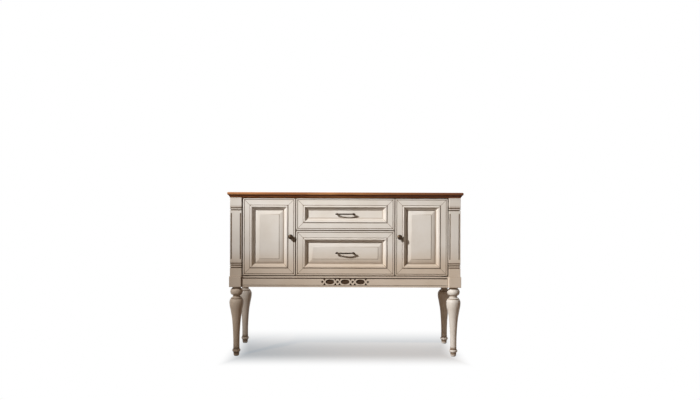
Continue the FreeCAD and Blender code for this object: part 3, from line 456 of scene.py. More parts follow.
def post_heights(foot, top, rings, flute_low, flute_high):
    """Heights of a post's rows: even ones, and close ones at the rings and at the ends of the flutes."""
    close = np.linspace(-1, 1, RING_ROWS)
    at_rings = [centre + close * (width / 2 + RING_ROUND + RING_MARGIN) for centre, width in rings]
    flute_end = np.linspace(-FLUTE_END_OUT, FLUTE_END_IN, FLUTE_END_ROWS)
    edge, inner = POST_END_ROWS
    even = np.linspace(foot + inner, top - inner, POST_ROWS)
    ends = [foot, foot + edge, top - edge, top]
    return np.unique(np.concatenate([ends, even, *at_rings, flute_low + flute_end, flute_high - flute_end]))


def post_section(side, low, high, axes):
    """A post's outline from its left back corner round the front to its right back corner.

    The corners at the front are quarter circles, the larger one beside the door. The other results are the
    direction in which a ring cuts each point in, and each point's own glaze.
    """
    across = np.concatenate([axis + np.linspace(-FLUTE_REACH, FLUTE_REACH, FLUTE_COLUMNS) for axis in axes])
    face_x = np.unique(np.concatenate([across, np.linspace(across[0], across[-1], FACE_COLUMNS)]))
    turn = np.linspace(0, math.pi / 2, EASE_STEPS)
    bend = np.stack([1 - np.cos(turn), 1 - np.sin(turn)], axis=-1)
    left_round, right_round = (BOARD_EASE, POST_ROUND) if side == "left" else (POST_ROUND, BOARD_EASE)
    side_y = np.array([high[1], high[1] - POST_BACK_COLUMN, low[1] + POST_SIDE_COLUMN,
                       low[1] + POST_ROUND + EDGE_MARGIN])
    left = np.stack([np.full(len(side_y), low[0]), side_y], axis=-1)
    left_bend = low[:2] + left_round * bend
    front = np.stack([face_x, np.full(len(face_x), low[1])], axis=-1)
    right_bend = np.array([high[0], low[1]]) + right_round * bend[::-1] * (-1, 1)
    right = np.stack([np.full(len(side_y), high[0]), side_y[::-1]], axis=-1)
    section = np.concatenate([left, left_bend, front, right_bend, right])
    flank = len(side_y)
    bent = flank + EASE_STEPS
    lean = np.zeros_like(section)
    lean[:bent, 0], lean[-bent:, 0] = 1, -1
    lean[flank:-flank, 1] = 1
    lean[[0, -1]] = 0
    glaze = np.full(len(section), POST_GLAZE)
    glaze[flank:bent] = glaze[-bent:-flank] = POST_CORNER_GLAZE
    # Painted shade on the post's side in the gap beside the door.
    beside_door = slice(-flank, 2 - flank) if side == "left" else slice(flank - 2, flank)
    glaze[beside_door] = POST_GAP_SHADE
    return section, lean, glaze


def fluted_post(side):
    """A front post: its section carried up, cut in by the carved rings and by two round-ended flutes.

    A flute is the trace of a ball that runs up the face: its depth is the ball's circle less the distance that
    the ball's path stands off, measured from the nearest point of that path.
    """
    low, high = box_of(f"front_{side}_post")
    foot, top = low[2], high[2]
    rings = np.array([(top - drop, width) for drop, width in CAPITAL_RINGS]
                     + [(foot + rise, width) for rise, width in PLINTH_RINGS])
    flute_low, flute_high = foot + FLUTE_FOOT_RISE, top - FLUTE_TOP_DROP
    axes = np.array([low[0] + FLUTE_INSET, high[0] - FLUTE_INSET])
    height = post_heights(foot, top, rings, flute_low, flute_high)
    section, lean, own_glaze = post_section(side, low, high, axes)
    off = np.abs(section[None, :, 0, None] - axes)
    over = np.maximum(np.maximum(flute_low - height, height - flute_high), 0)[:, None, None]
    ball = np.sqrt(np.maximum(FLUTE_RADIUS ** 2 - off ** 2 - over ** 2, 0)) - FLUTE_STANDOFF
    flute = np.maximum(ball, 0).max(axis=-1)
    cut = ring_inset(height, rings)[:, None]
    x = section[None, :, 0] + lean[None, :, 0] * cut
    y = section[None, :, 1] + lean[None, :, 1] * cut + flute
    z = np.broadcast_to(height[:, None], x.shape)
    in_rings = hollows(height, [(place, RING_SHADE, 1.0) for place, _ in rings])[:, None]
    in_flutes = FLUTE_GLAZE * np.clip(flute / FLUTE_GLAZED_DEPTH, 0, 1)
    # At the head the glaze is partly a dark joint and partly painted shade under the trim.
    at_ends = np.interp(height, [foot, foot + POST_FOOT_FADE, top - POST_HEAD_FADE, top],
                        [POST_FOOT_GLAZE, 0.0, 0.0, POST_HEAD_GLAZE_AND_SHADE])[:, None]
    glaze = np.maximum(np.maximum(in_rings, in_flutes), np.maximum(own_glaze[None], at_ends))
    return np.stack([x, y, z], axis=-1), glaze


def leg_turning(top):
    """The leg's runs of radius and height: foot, ring, ankle, shin, shoulder, collar, neck, ball and throat."""
    return (
        ((16.0, 3.0), (18.5, 24.0)),
        ((18.5, 24.0), (24.2, 33.0), (18.7, 42.0)),
        ((18.7, 42.0), (18.7, 60.0)),
        ((18.7, 60.0), (20.6, top / 2 - 62), (27.5, top - 184)),
        ((27.5, top - 184), (36.4, top - 134)),
        ((36.4, top - 134), (40.6, top - 114), (42.0, top - 94)),
        ((42.0, top - 94), (40.4, top - 83.5), (35.5, top - 73)),
        ((35.5, top - 73), (32.0, top - 71.5)),
        ((32.0, top - 71.5), (32.0, top - 66)),
        ((32.0, top - 66), (22.0, top - 55), (31.0, top - 46.5)),
        ((31.0, top - 46.5), (37.2, top - 30), (31.0, top - 13)),
        ((31.0, top - 13), (26.0, top - 11)),
        ((26.0, top - 11), (26.0, top + LEG_INTO_BLOCK)),
    )


def turned_leg(name):
    """A leg: the turning spun about the upright axis, and the eased square block that it carries.

    A front block has a chamfer down its corner beside the apron; on the left block it is darkened as painted
    shade.
    """
    low, high = box_of(name)
    middle = (low + high) / 2
    under = box_of("front_apron")[0][2]
    profile = outline(leg_turning(under), LEG_ARC_POINTS)
    turning = lathe(profile, (middle[0], middle[1], 0.0))
    # The band just under the block is painted shade; the rest is glaze in the turned hollows.
    places = FOOT_HOLLOWS + tuple((under - drop, width, share) for drop, width, share in HEAD_HOLLOWS_AND_SHADE)
    glaze = np.maximum(LEG_GLAZE, hollows(profile[:, 1], places))[:, None]
    block_low = np.array([middle[0] - BLOCK_HALF, middle[1] - BLOCK_HALF, under])
    block_high = np.array([middle[0] + BLOCK_HALF, middle[1] + BLOCK_HALF, high[2]])
    corners = rectangle(block_low, block_high)
    x0, y0, x1 = block_low[0], block_low[1], block_high[0]
    if name == "front_left_leg":
        corners[1:2] = [(x1 - BLOCK_CHAMFER, y0), (x1, y0 + BLOCK_CHAMFER)]
    elif name == "front_right_leg":
        corners[:1] = [(x0, y0 + BLOCK_CHAMFER), (x0 + BLOCK_CHAMFER, y0)]
    block, wear = eased_board(block_low, block_high, BLOCK_EASE, BLOCK_WEAR, corners)
    # Painted shade: the left block's chamfer faces away from the lamp and is glazed dark.
    if name == "front_left_leg":
        reach = BLOCK_CHAMFER - CHAMFER_MARGIN
        cut = (block[..., 0] > x1 - reach) & (block[..., 1] < y0 + reach)
        wear = np.maximum(wear, CHAMFER_PAINTED_SHADE * cut)
    return [(turning, glaze), (block, wear)]


def nosed_top():
    """The top: a rectangle drawn in along the nose at the front and the ends, square behind.

    The nose is a quarter circle above, a flat face and a soft-cornered slope below. The rectangle's front
    corners are quarter circles.
    """
    low, high = box_of("top_board")
    turn = np.linspace(0, math.pi / 2, NOSE_STEPS)
    under = NOSE_SLOPE * NOSE_UNDER + (0, low[2])
    over = np.stack([NOSE_TOP * (1 - np.cos(turn)), high[2] - NOSE_TOP * (1 - np.sin(turn))], axis=-1)
    first, last = (NOSE_UNDER + NOSE_MARGIN, low[2]), (NOSE_TOP + NOSE_MARGIN, high[2])
    steps = np.concatenate([[first], under, over, [last]])
    # Painted shade on the underside of the nose.
    shade = np.interp(steps[:, 1] - low[2], *NOSE_SHADE)[:, None]
    bend = np.linspace(0, math.pi / 2, NOSE_CORNER_STEPS)
    inset, level = steps[:, 0, None], steps[:, 1, None]
    left_x = low[0] + inset + NOSE_CORNER * (1 - np.cos(bend))
    front_y = low[1] + inset + NOSE_CORNER * (1 - np.sin(bend))
    right_x, right_y = high[0] + low[0] - left_x[:, ::-1], front_y[:, ::-1]
    back_x = np.concatenate([high[0] - inset, low[0] + inset], axis=1)
    back_y = np.full(back_x.shape, high[1])
    x = np.concatenate([left_x, right_x, back_x], axis=1)
    y = np.concatenate([front_y, right_y, back_y], axis=1)
    return np.stack([x, y, np.broadcast_to(level, x.shape)], axis=-1), shade


def trim_profile(reach, top, foot):
    """The trim's closed section as rows of inward, up and glaze: a fillet, a hollow and a small foot."""
    inner = reach - TRIM_FOOT
    hollow_top, hollow_foot = top - TRIM_FILLET, foot + TRIM_FOOT
    middle = (inner / 2 + TRIM_COVE, (hollow_top + hollow_foot) / 2 + TRIM_COVE)
    hollow = arc((0, hollow_top), middle, (inner, hollow_foot))
    ends = np.array([(inner, foot), (TRIM_WIDTH, foot), (TRIM_WIDTH, top)])
    section = np.concatenate([[(0, top)], hollow, ends])
    # Painted shade at the trim's top under the nose and at its foot.
    shade = np.interp(section[:, 1] - foot, *TRIM_SHADE)
    return np.column_stack([section, shade])


def trim_length(edge):
    """One length of trim under the top, its section carried along and mitred where it meets the next."""
    low, high = box_of("front_trim")
    post_low, post_high = box_of("front_right_post")
    case_back = box_of("side_trims")[1][1]
    half, front = high[0], low[1]
    foot = low[2] + LEAF_SHOW
    if edge == "front":
        inward, z, shade = trim_profile(post_low[1] - front, high[2], foot).T
        x = np.stack([-half + inward, half - inward])
        y = np.broadcast_to(front + inward, x.shape)
    else:
        inward, z, shade = trim_profile(half - post_high[0], high[2], foot).T
        way = 1 if edge == "right" else -1
        y = np.stack([front + inward, np.full(len(inward), case_back)])
        x = np.broadcast_to(way * (half - inward), y.shape)
    return np.stack([x, y, np.broadcast_to(z, x.shape)], axis=-1), shade


def bow_pull(node):
    """A bow pull: a round bar along a flat arc, two turned feet and two turned finials.

    The bar's radius swells towards the middle as a cosine does.
    """
    low, high = box_of(node)
    z, back = (low[2] + high[2]) / 2, high[1]
    base = back - PULL_FOOT_HEIGHT
    bow = arc((-PULL_HALF, base), (0, base - PULL_RISE), (PULL_HALF, base), PULL_BAR_STEPS)
    run = np.gradient(bow, axis=0)
    run /= np.linalg.norm(run, axis=1, keepdims=True)
    turn = np.linspace(0, math.tau, PULL_BAR_SIDES, endpoint=False)
    swell = np.cos(np.linspace(-math.pi / 2, math.pi / 2, PULL_BAR_STEPS))
    radius = (PULL_BAR_RADIUS + PULL_BAR_SWELL * swell)[:, None]
    out = radius * np.cos(turn)
    x = bow[:, 0, None] - run[:, 1, None] * out
    y = bow[:, 1, None] + run[:, 0, None] * out
    bar = np.stack([x, y, z + radius * np.sin(turn)], axis=-1)
    shells = [(bar, 0.0)]
    for way in (-1, 1):
        foot = lathe(outline(PULL_FOOT, 8), (way * PULL_HALF, back, z), "y", -1, PULL_SEGMENTS)
        finial = lathe(outline(FINIAL), (way * PULL_HALF, base, z), "x", way, PULL_SEGMENTS)
        shells += [(foot, 0.0), (finial, 0.0)]
    return shells


def turned_knob(node):
    """A knob: its turning spun about the axis that stands out of the door."""
    low, high = box_of(node)
    centre = ((low[0] + high[0]) / 2, high[1], (low[2] + high[2]) / 2)
    return [(lathe(outline(KNOB_TURNING), centre, "y", -1, KNOB_SEGMENTS), 0.0)]


def sided_boards(node, ease=BOARD_EASE):
    """The two boards of a node that lie left and right of the middle, each with eased edges."""
    corners = np.zeros(len(NODES[node].data.vertices) * 3)
    NODES[node].data.vertices.foreach_get("co", corners)
    corners = corners.reshape(-1, 3) / MM
    halves = (corners[corners[:, 0] < 0], corners[corners[:, 0] > 0])
    return [eased_board(half.min(axis=0), half.max(axis=0), ease) for half in halves]


def add_piece(name, shells, material, body, slot, *nodes, sharp=SHARP_ANGLE):
    """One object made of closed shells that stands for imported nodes.

    A shell is a stack of rings: neighbouring rings are joined by four-sided faces, and the first and last ring
    are closed by a flat face. Each point keeps its glaze.
    """
    corners, shades, faces, start = [], [], [], 0
    for rings, glaze in shells:
        count, size = rings.shape[:2]
        index = start + np.arange(count * size).reshape(count, size)
        ahead = np.roll(index, -1, axis=1)
        walls = np.stack([index[:-1], ahead[:-1], ahead[1:], index[1:]], axis=-1)
        faces += walls.reshape(-1, 4).tolist() + [index[0, ::-1].tolist(), index[-1].tolist()]
        corners.append(rings.reshape(-1, 3))
        shades.append(np.broadcast_to(glaze, (count, size)).ravel())
        start += count * size
    mesh = bpy.data.meshes.new(name)
    mesh.from_pydata((np.concatenate(corners) * MM).tolist(), [], faces)
    rubbed = mesh.attributes.new("glaze", "FLOAT", "POINT")
    rubbed.data.foreach_set("value", np.concatenate(shades).astype(np.float32))
    work = bmesh.new()
    work.from_mesh(mesh)
    bmesh.ops.recalc_face_normals(work, faces=work.faces)
    work.to_mesh(mesh)
    work.free()
    mesh.shade_smooth()
    mesh.set_sharp_from_angle(angle=math.radians(sharp))
    mesh.materials.append(material)
    piece = new_object(name, mesh)
    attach(piece, body)
    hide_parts(*nodes)


class Socket:
    """An output socket in a node tree; arithmetic on it adds Math nodes to that tree."""

    def __init__(self, nodes, socket):
        self.nodes = nodes
        self.socket = socket

    def _maths(self, operation, *values):
        return self.nodes.node("ShaderNodeMath", {"operation": operation}, dict(enumerate(values)))

    def __add__(self, other):
        return self._maths("ADD", self, other)

    __radd__ = __add__

    def __sub__(self, other):
        return self._maths("SUBTRACT", self, other)

    def __rsub__(self, other):
        return self._maths("SUBTRACT", other, self)

    def __mul__(self, other):
        return self._maths("MULTIPLY", self, other)

    __rmul__ = __mul__

    def __abs__(self):
        return self._maths("ABSOLUTE", self)

    def at_least(self, other):
        return self._maths("MAXIMUM", self, other)

    def at_most(self, other):
        return self._maths("MINIMUM", self, other)

    def step(self, start, end):
        """0 below start and 1 above end, with a smooth rise between."""
        sockets = {"Value": self, "From Min": start, "From Max": end}
        return self.nodes.node("ShaderNodeMapRange", {"interpolation_type": "SMOOTHSTEP"}, sockets, "Result")

    def past(self, place, band):
        """0 before a band and 1 after it; the band is in millimetres from a place in metres."""
        return self.step(*(place + edge * MM for edge in band))


class Nodes:
    """A node tree in the making."""

    def __init__(self, tree):
        self.tree = tree

    def node(self, kind, settings, sockets, output=0):
        """A node of any kind: its settings first, then the values or links of its sockets."""
        node = self.tree.nodes.new(kind)
        for setting, value in settings.items():
            setattr(node, setting, value)
        for socket, value in sockets.items():
            if isinstance(value, Socket):
                self.tree.links.new(value.socket, node.inputs[socket])
            else:
                node.inputs[socket].default_value = value
        return Socket(self, node.outputs[output])

    def seen(self):
        """1 for rays that show the background: from the camera, off a mirror or through glass."""
        camera, mirror, glass = (self.node("ShaderNodeLightPath", {}, {}, f"Is {ray} Ray")
                                 for ray in ("Camera", "Glossy", "Transmission"))
        return camera.at_least(mirror).at_least(glass)

    def surface(self, shader, output):
        """Links a shader to the tree's output."""
        self.tree.links.new(shader.socket, self.tree.nodes[output].inputs["Surface"])


class Finish(Nodes):
    """A material in the making, with its shader and the few nodes that its patterns use."""

    def __init__(self, name, **constants):
        self.material = bpy.data.materials.new(name)
        self.material.use_nodes = True
        super().__init__(self.material.node_tree)
        self.shader = self.tree.nodes["Principled BSDF"]
        for socket, value in constants.items():
            self.shader.inputs[socket.replace("_", " ")].default_value = value
        self.place = self.node("ShaderNodeTexCoord", {}, {}, "Object")

    def axis(self, letter):
        """One coordinate of the place on the object, in metres."""
        return self.node("ShaderNodeSeparateXYZ", {}, {0: self.place}, letter.upper())

    def noise(self, scale, detail=3.0, roughness=0.5):
        """Cloudy noise between 0 and 1."""
        return self._noise(self.place, scale, detail, roughness, 0.0)

    def grain(self, run, along, across, detail, roughness, distortion=0.0):
        """Noise drawn out along one axis: its scale along that axis and across it."""
        scales = tuple(along if axis == run else across for axis in "xyz")
        place = self.node("ShaderNodeVectorMath", {"operation": "MULTIPLY"}, {0: self.place, 1: scales})
        return self._noise(place, 1.0, detail, roughness, distortion)

    def _noise(self, place, scale, detail, roughness, distortion):
        sockets = {"Vector": place, "Scale": scale, "Detail": detail, "Roughness": roughness,
                   "Distortion": distortion}
        return self.node("ShaderNodeTexNoise", {"noise_dimensions": "3D"}, sockets)

    def mix(self, factor, low, high, kind="MIX"):
        """A colour between two colours."""
        settings = {"data_type": "RGBA", "blend_type": kind}
        return self.node("ShaderNodeMix", settings, {0: factor, 6: low, 7: high}, 2)

    def rubbed(self):
        """The glaze that each point of a piece keeps, which in places is painted shade."""
        return self.node("ShaderNodeAttribute", {"attribute_name": "glaze"}, {}, "Fac")

    def bumped(self, height, distance, strength):
        """A surface normal raised by a height pattern."""
        return self.node("ShaderNodeBump", {}, {"Height": height, "Distance": distance, "Strength": strength})

    def feed(self, **links):
        """Links patterns to the shader's sockets."""
        for socket, value in links.items():
            self.tree.links.new(value.socket, self.shader.inputs[socket.replace("_", " ")])
        return self.material


def tone(red, green, blue):
    """A display colour, 0 to 255, as the linear colour that shaders take."""
    shown = np.array([red, green, blue]) / 255
    linear = np.where(shown <= 0.04045, shown / 12.92, ((shown + 0.055) / 1.055) ** 2.4)
    return (*linear.tolist(), 1.0)


IVORY = tone(235, 231, 225)
IVORY_DEEP = tone(228, 222, 213)
IVORY_BRUSHED = tone(214, 205, 193)
GLAZE = tone(84, 64, 46)
GLAZE_THIN = tone(156, 137, 118)
WALNUT = tone(140, 89, 50)
WALNUT_LIGHT = tone(186, 133, 84)
WALNUT_RED = tone(156, 100, 58)
WALNUT_PORE = tone(86, 48, 24)
WALNUT_PAINTED_SHADE = tone(90, 48, 18)
FRET_BROWN = tone(60, 44, 30)
FRET_BROWN_LIGHT = tone(88, 66, 46)
PALE_WOOD = tone(214, 184, 142)
PALE_WOOD_DEEP = tone(190, 154, 110)
PALE_WOOD_PORE = tone(160, 122, 82)
BRONZE = tone(46, 36, 28)
BRONZE_RUBBED = tone(74, 58, 42)
ZINC = tone(168, 170, 172)
ZINC_BRIGHT = tone(196, 197, 196)
GLIDE_TONES = (tone(58, 56, 54), tone(74, 72, 69))
CATCH_TONES = (tone(206, 202, 194), tone(222, 219, 212))

# Shares of the glaze that lie even and in brush streaks, and of the brushed tone in streaks and clouds.
GLAZE_EVEN, GLAZE_STREAKED = 0.62, 0.75
STREAK_DUST, CLOUD_DUST = 0.22, 0.1

# Painted shade on the cream: the shares that it keeps, and the metres over which it fades up the case and round
# the left leg.
PAINTED_SHADE_TONE = (0.88, 0.79, 0.7, 1.0)
PAINTED_SHADE_UP = (0.53, 0.66)
PAINTED_SHADE_CASE = (0.4, 0.42)
PAINTED_SHADE_LEFT = (-0.5, -0.35)
PAINTED_SHADE_FRONT = (-0.1, 0.1)

# Wood that darkens to the right: the shares that it keeps and the metres. How light the top's wood is, and the
# trim's wood, made lighter as painted light where the nose's shadow falls on it.
WOOD_DARKER_RIGHT = (0.52, 0.42, 0.34, 1.0)
WOOD_DARKER_RUN = (-0.5, 0.45)
TOP_LIGHT = 1.25
TRIM_PAINTED_LIGHT = 2.0


def ivory_paint(name, run, mask=None):
    """Brushed ivory paint with a brown glaze wiped into its hollows.

    Soft clouds shift the cream, long brush streaks run along one axis, and the glaze is thin and warm where it
    is wiped and dark where it stays. Towards the foot of the case and round the left front leg the cream is
    painted darker and warmer, as painted shade. mask adds glaze and painted shade from the place on the object.
    """
    paint = Finish(name, Specular_IOR_Level=0.25)
    cloud = paint.noise(scale=6.0, detail=4.0, roughness=0.55)
    streak = paint.grain(run, along=14.0, across=170.0, detail=5.0, roughness=0.62)
    fleck = paint.noise(scale=420.0, detail=2.0, roughness=0.6)
    glaze = paint.rubbed()
    if mask is not None:
        glaze = glaze.at_least(mask(paint))
    kept = (glaze * (GLAZE_EVEN + GLAZE_STREAKED * streak)).at_most(1.0)
    dusting = streak.step(0.52, 0.86) * STREAK_DUST + cloud.step(0.5, 0.8) * CLOUD_DUST
    cream = paint.mix(cloud.step(0.3, 0.72), IVORY, IVORY_DEEP)
    cream = paint.mix(dusting, cream, IVORY_BRUSHED)
    height = paint.axis("z")
    # Painted shade: the cream is darker and warmer towards the foot of the case and round the left front leg.
    shaded_left_front = (1.0 - paint.axis("x").step(*PAINTED_SHADE_LEFT)) * (1.0 - paint.axis("y").step(*PAINTED_SHADE_FRONT))
    painted_shade = (1.0 - height.step(*PAINTED_SHADE_UP)) * height.step(*PAINTED_SHADE_CASE).at_least(shaded_left_front)
    cream = paint.mix(painted_shade, cream, PAINTED_SHADE_TONE, "MULTIPLY")
    warm = paint.mix(kept.step(0.02, 0.55), cream, GLAZE_THIN)
    colour = paint.mix(kept.step(0.4, 1.0), warm, GLAZE)
    roughness = 0.4 + 0.12 * cloud + 0.14 * kept
    normal = paint.bumped(streak * 0.7 + fleck * 0.3, distance=0.0005, strength=0.35)
    return paint.feed(Base_Color=colour, Roughness=roughness, Normal=normal)


def apron_glaze_and_shade(paint):
    """Glaze on the front apron in its pierced walls, scratched line and foot; painted shade on its top edge and
    by the leg blocks.
    """
    low, high = (corner * MM for corner in box_of("front_apron"))
    height, behind = paint.axis("z"), paint.axis("y") - low[1]
    pierced = behind.past(0, PIERCED_START) * (1.0 - behind.past(0, PIERCED_END))
    foot = APRON_FOOT_GLAZE * (1.0 - height.past(low[2], APRON_FOOT))
    low_edge = APRON_LOW_GLAZE * (1.0 - height.past(low[2], APRON_LOW_EDGE))
    # Painted shade along the top edge under the bottom board and at the ends beside the leg blocks.
    high_edge = APRON_HIGH_SHADE * height.past(high[2], APRON_HIGH_EDGE)
    ends = APRON_END_SHADE * abs(paint.axis("x")).past(high[0], APRON_END)
    return pierced.at_least(foot).at_least(low_edge + high_edge).at_least(ends)


def bottom_board_painted_shade(paint):
    """Painted shade along the bottom board's front edge: in the rebate under it, and on its upper corner below
    the doors.
    """
    low, high = (corner * MM for corner in box_of("bottom_panel"))
    height, depth = paint.axis("z"), paint.axis("y")
    # Painted shade in the rebate under the board and on its corner below the doors.
    under = 1.0 - height.past(low[2] + REBATE_HEIGHT * MM, REBATE_EDGE)
    under = under * (1.0 - depth.past(low[1], REBATE_REACH))
    upper = height.past(high[2], FLOOR_CORNER) * (1.0 - depth.past(low[1], FLOOR_CORNER_REACH))
    return under.at_least(upper)


def walnut_varnish(name, lightness):
    """Varnished brown wood with its grain along the top: long figure, fine pores, painted shade, a soft gloss.

    The colour darkens towards the right end.
    """
    wood = Finish(name, Coat_Roughness=0.18, Specular_IOR_Level=0.12)
    figure = wood.grain("x", along=1.6, across=22.0, detail=4.0, roughness=0.5, distortion=1.2)
    pores = wood.grain("x", along=26.0, across=720.0, detail=3.0, roughness=0.65)
    cloud = wood.noise(scale=3.0, detail=2.0)
    colour = wood.mix(figure.step(0.32, 0.7), WALNUT, WALNUT_LIGHT)
    colour = wood.mix(cloud.step(0.35, 0.75) * 0.35, colour, WALNUT_RED)
    colour = wood.mix(pores.step(0.56, 0.74) * 0.5, colour, WALNUT_PORE)
    colour = wood.mix(1.0, colour, (lightness, lightness, lightness, 1.0), "MULTIPLY")
    colour = wood.mix(wood.axis("x").step(*WOOD_DARKER_RUN), colour, WOOD_DARKER_RIGHT, "MULTIPLY")
    # Painted shade under the nose and at the trim's top and foot; the coat is thinner there.
    hollow = wood.rubbed()
    colour = wood.mix(hollow, colour, WALNUT_PAINTED_SHADE)
    roughness = 0.3 + 0.16 * pores
    normal = wood.bumped(pores * -1.0, distance=0.0003, strength=0.4)
    return wood.feed(Base_Color=colour, Roughness=roughness, Coat_Weight=0.25 - 0.25 * hollow, Normal=normal)


def fret_brown():
    """Dark stained wood behind the pierced fret."""
    wood = Finish("fret_brown", Specular_IOR_Level=0.25)
    grain = wood.grain("x", along=12.0, across=160.0, detail=4.0, roughness=0.6)
    colour = wood.mix(grain.step(0.3, 0.75), FRET_BROWN, FRET_BROWN_LIGHT)
    normal = wood.bumped(grain, distance=0.0004, strength=0.4)
    return wood.feed(Base_Color=colour, Roughness=0.6 + 0.2 * grain, Normal=normal)


def plain_wood(name, run):
    """Unpainted pale wood with its grain along one axis, for drawer boxes and the back."""
    wood = Finish(name, Specular_IOR_Level=0.3)
    figure = wood.grain(run, along=2.2, across=34.0, detail=4.0, roughness=0.5, distortion=0.9)
    pores = wood.grain(run, along=24.0, across=520.0, detail=3.0, roughness=0.6)
    colour = wood.mix(figure.step(0.3, 0.72), PALE_WOOD, PALE_WOOD_DEEP)
    colour = wood.mix(pores.step(0.55, 0.78) * 0.5, colour, PALE_WOOD_PORE)
    normal = wood.bumped(pores * -1.0, distance=0.0003, strength=0.35)
    return wood.feed(Base_Color=colour, Roughness=0.52 + 0.2 * pores, Normal=normal)


def rubbed_bronze():
    """Dark bronze, rubbed brighter in patches."""
    metal = Finish("rubbed_bronze", Specular_IOR_Level=0.5)
    cloud = metal.noise(scale=90.0, detail=4.0, roughness=0.6)
    fine = metal.noise(scale=600.0, detail=2.0, roughness=0.6)
    colour = metal.mix(cloud.step(0.35, 0.7), BRONZE, BRONZE_RUBBED)
    roughness = 0.22 + 0.16 * cloud + 0.06 * fine
    normal = metal.bumped(fine, distance=0.0002, strength=0.3)
    return metal.feed(Base_Color=colour, Roughness=roughness, Metallic=0.75 + 0.2 * cloud, Normal=normal)


def zinc_steel():
    """Zinc-plated steel, brushed along the slides."""
    metal = Finish("zinc_steel", Metallic=1.0)
    brush = metal.grain("y", along=30.0, across=900.0, detail=3.0, roughness=0.6)
    cloud = metal.noise(scale=40.0)
    colour = metal.mix(cloud.step(0.3, 0.7), ZINC, ZINC_BRIGHT)
    normal = metal.bumped(brush, distance=0.0001, strength=0.3)
    return metal.feed(Base_Color=colour, Roughness=0.3 + 0.2 * brush, Normal=normal)


def moulded_plastic(name, low, high):
    """Matte moulded plastic with a fine grain."""
    plastic = Finish(name, Specular_IOR_Level=0.4)
    grain = plastic.noise(scale=900.0, detail=2.0, roughness=0.6)
    cloud = plastic.noise(scale=60.0, detail=2.0)
    colour = plastic.mix(cloud.step(0.3, 0.7), low, high)
    normal = plastic.bumped(grain, distance=0.0002, strength=0.35)
    return plastic.feed(Base_Color=colour, Roughness=0.5 + 0.12 * grain, Normal=normal)


upright_paint = ivory_paint("ivory_paint_upright", "z")
level_paint = ivory_paint("ivory_paint_level", "x")
end_paint = ivory_paint("ivory_paint_end", "y")
apron_paint = ivory_paint("ivory_paint_apron", "x", apron_glaze_and_shade)
floor_paint = ivory_paint("ivory_paint_floor", "x", bottom_board_painted_shade)
walnut = walnut_varnish("walnut_varnish", TOP_LIGHT)
# Painted light: the trim's wood is made twice as light where the nose's shadow falls on it.
trim_walnut_painted_light = walnut_varnish("walnut_trim_painted_light", TRIM_PAINTED_LIGHT)
fret = fret_brown()
box_wood = plain_wood("plain_wood_long", "x")
wall_wood = plain_wood("plain_wood_deep", "y")
bronze = rubbed_bronze()
steel = zinc_steel()
glide = moulded_plastic("glide_plastic", *GLIDE_TONES)
catch = moulded_plastic("catch_plastic", *CATCH_TONES)


def add_side(side):
    """The posts, end panel, end apron and legs at one side of the case."""
    post = f"front_{side}_post"
    add_piece(f"fluted_{side}_post", [fluted_post(side)], upright_paint, "case", "cream_paint", post)
    post = f"back_{side}_post"
    add_piece(f"plain_{side}_post", [eased_board(*box_of(post))], upright_paint, "case", "cream_paint", post)
    add_piece(f"{side}_end_panel", [end_panel(side)], upright_paint, "case", "cream_paint",
              f"{side}_side_panel", sharp=PANEL_SHARP_ANGLE)
    apron = f"{side}_apron"
    add_piece(f"{side}_end_apron", [eased_board(*box_of(apron))], end_paint, "case", "cream_paint", apron)
    for depth in ("front", "back"):
        leg = f"{depth}_{side}_leg"
        add_piece(f"turned_{leg}", turned_leg(leg), upright_paint, "case", "cream_paint", leg)


def add_front(front):
    """A door or a drawer: its moulded frame, panel and bronze, and the boards of a drawer's box."""
    low, high = box_of(f"{front}_stiles")
    span = (low[0], high[0], low[2], high[2])
    face = high[1] - FRONT_THICKNESS
    is_door = front.endswith("door")
    raised = front != "upper_drawer"
    stiles = [frame_member(span, face, edge, raised) for edge in ("left", "right")]
    rails = [frame_member(span, face, edge, raised) for edge in ("low", "high")]
    field = front_panel(span, face, raised)
    panel_paint = upright_paint if is_door else level_paint
    add_piece(f"{front}_moulded_stiles", stiles, upright_paint, front, "cream_paint", f"{front}_stiles")
    add_piece(f"{front}_moulded_rails", rails, level_paint, front, "cream_paint", f"{front}_rails")
    add_piece(f"{front}_fielded_panel", [field], panel_paint, front, "cream_paint", f"{front}_panel",
              sharp=PANEL_SHARP_ANGLE)
    if is_door:
        knob = f"{front}_knob"
        add_piece(f"{front}_turned_knob", turned_knob(knob), bronze, front, "bronze", knob)
        return
    pull = f"{front}_pull"
    add_piece(f"{front}_bow_pull", bow_pull(pull), bronze, front, "bronze", pull)
    for board in ("box_front", "back", "bottom"):
        node = f"{front}_{board}"
        add_piece(f"{front}_eased_{board}", [eased_board(*box_of(node), BOX_EASE)], box_wood, front,
                  "plain_wood", node)
    walls = f"{front}_sides"
    add_piece(f"{front}_eased_sides", sided_boards(walls, BOX_EASE), wall_wood, front, "plain_wood", walls)


add_piece("nosed_top", [nosed_top()], walnut, "case", "walnut_varnish", "top_board")
add_piece("front_trim_length", [trim_length("front")], trim_walnut_painted_light, "case", "walnut_varnish", "front_trim")
add_piece("side_trim_lengths", [trim_length("left"), trim_length("right")], trim_walnut_painted_light, "case",
          "walnut_varnish", "side_trims")
add_side("left")
add_side("right")
add_piece("rear_apron", [eased_board(*box_of("back_apron"))], level_paint, "case", "cream_paint", "back_apron")
add_piece("upright_partitions", sided_boards("partitions"), upright_paint, "case", "cream_paint", "partitions")
for front in ("left_door", "right_door", "upper_drawer", "lower_drawer"):
    add_front(front)

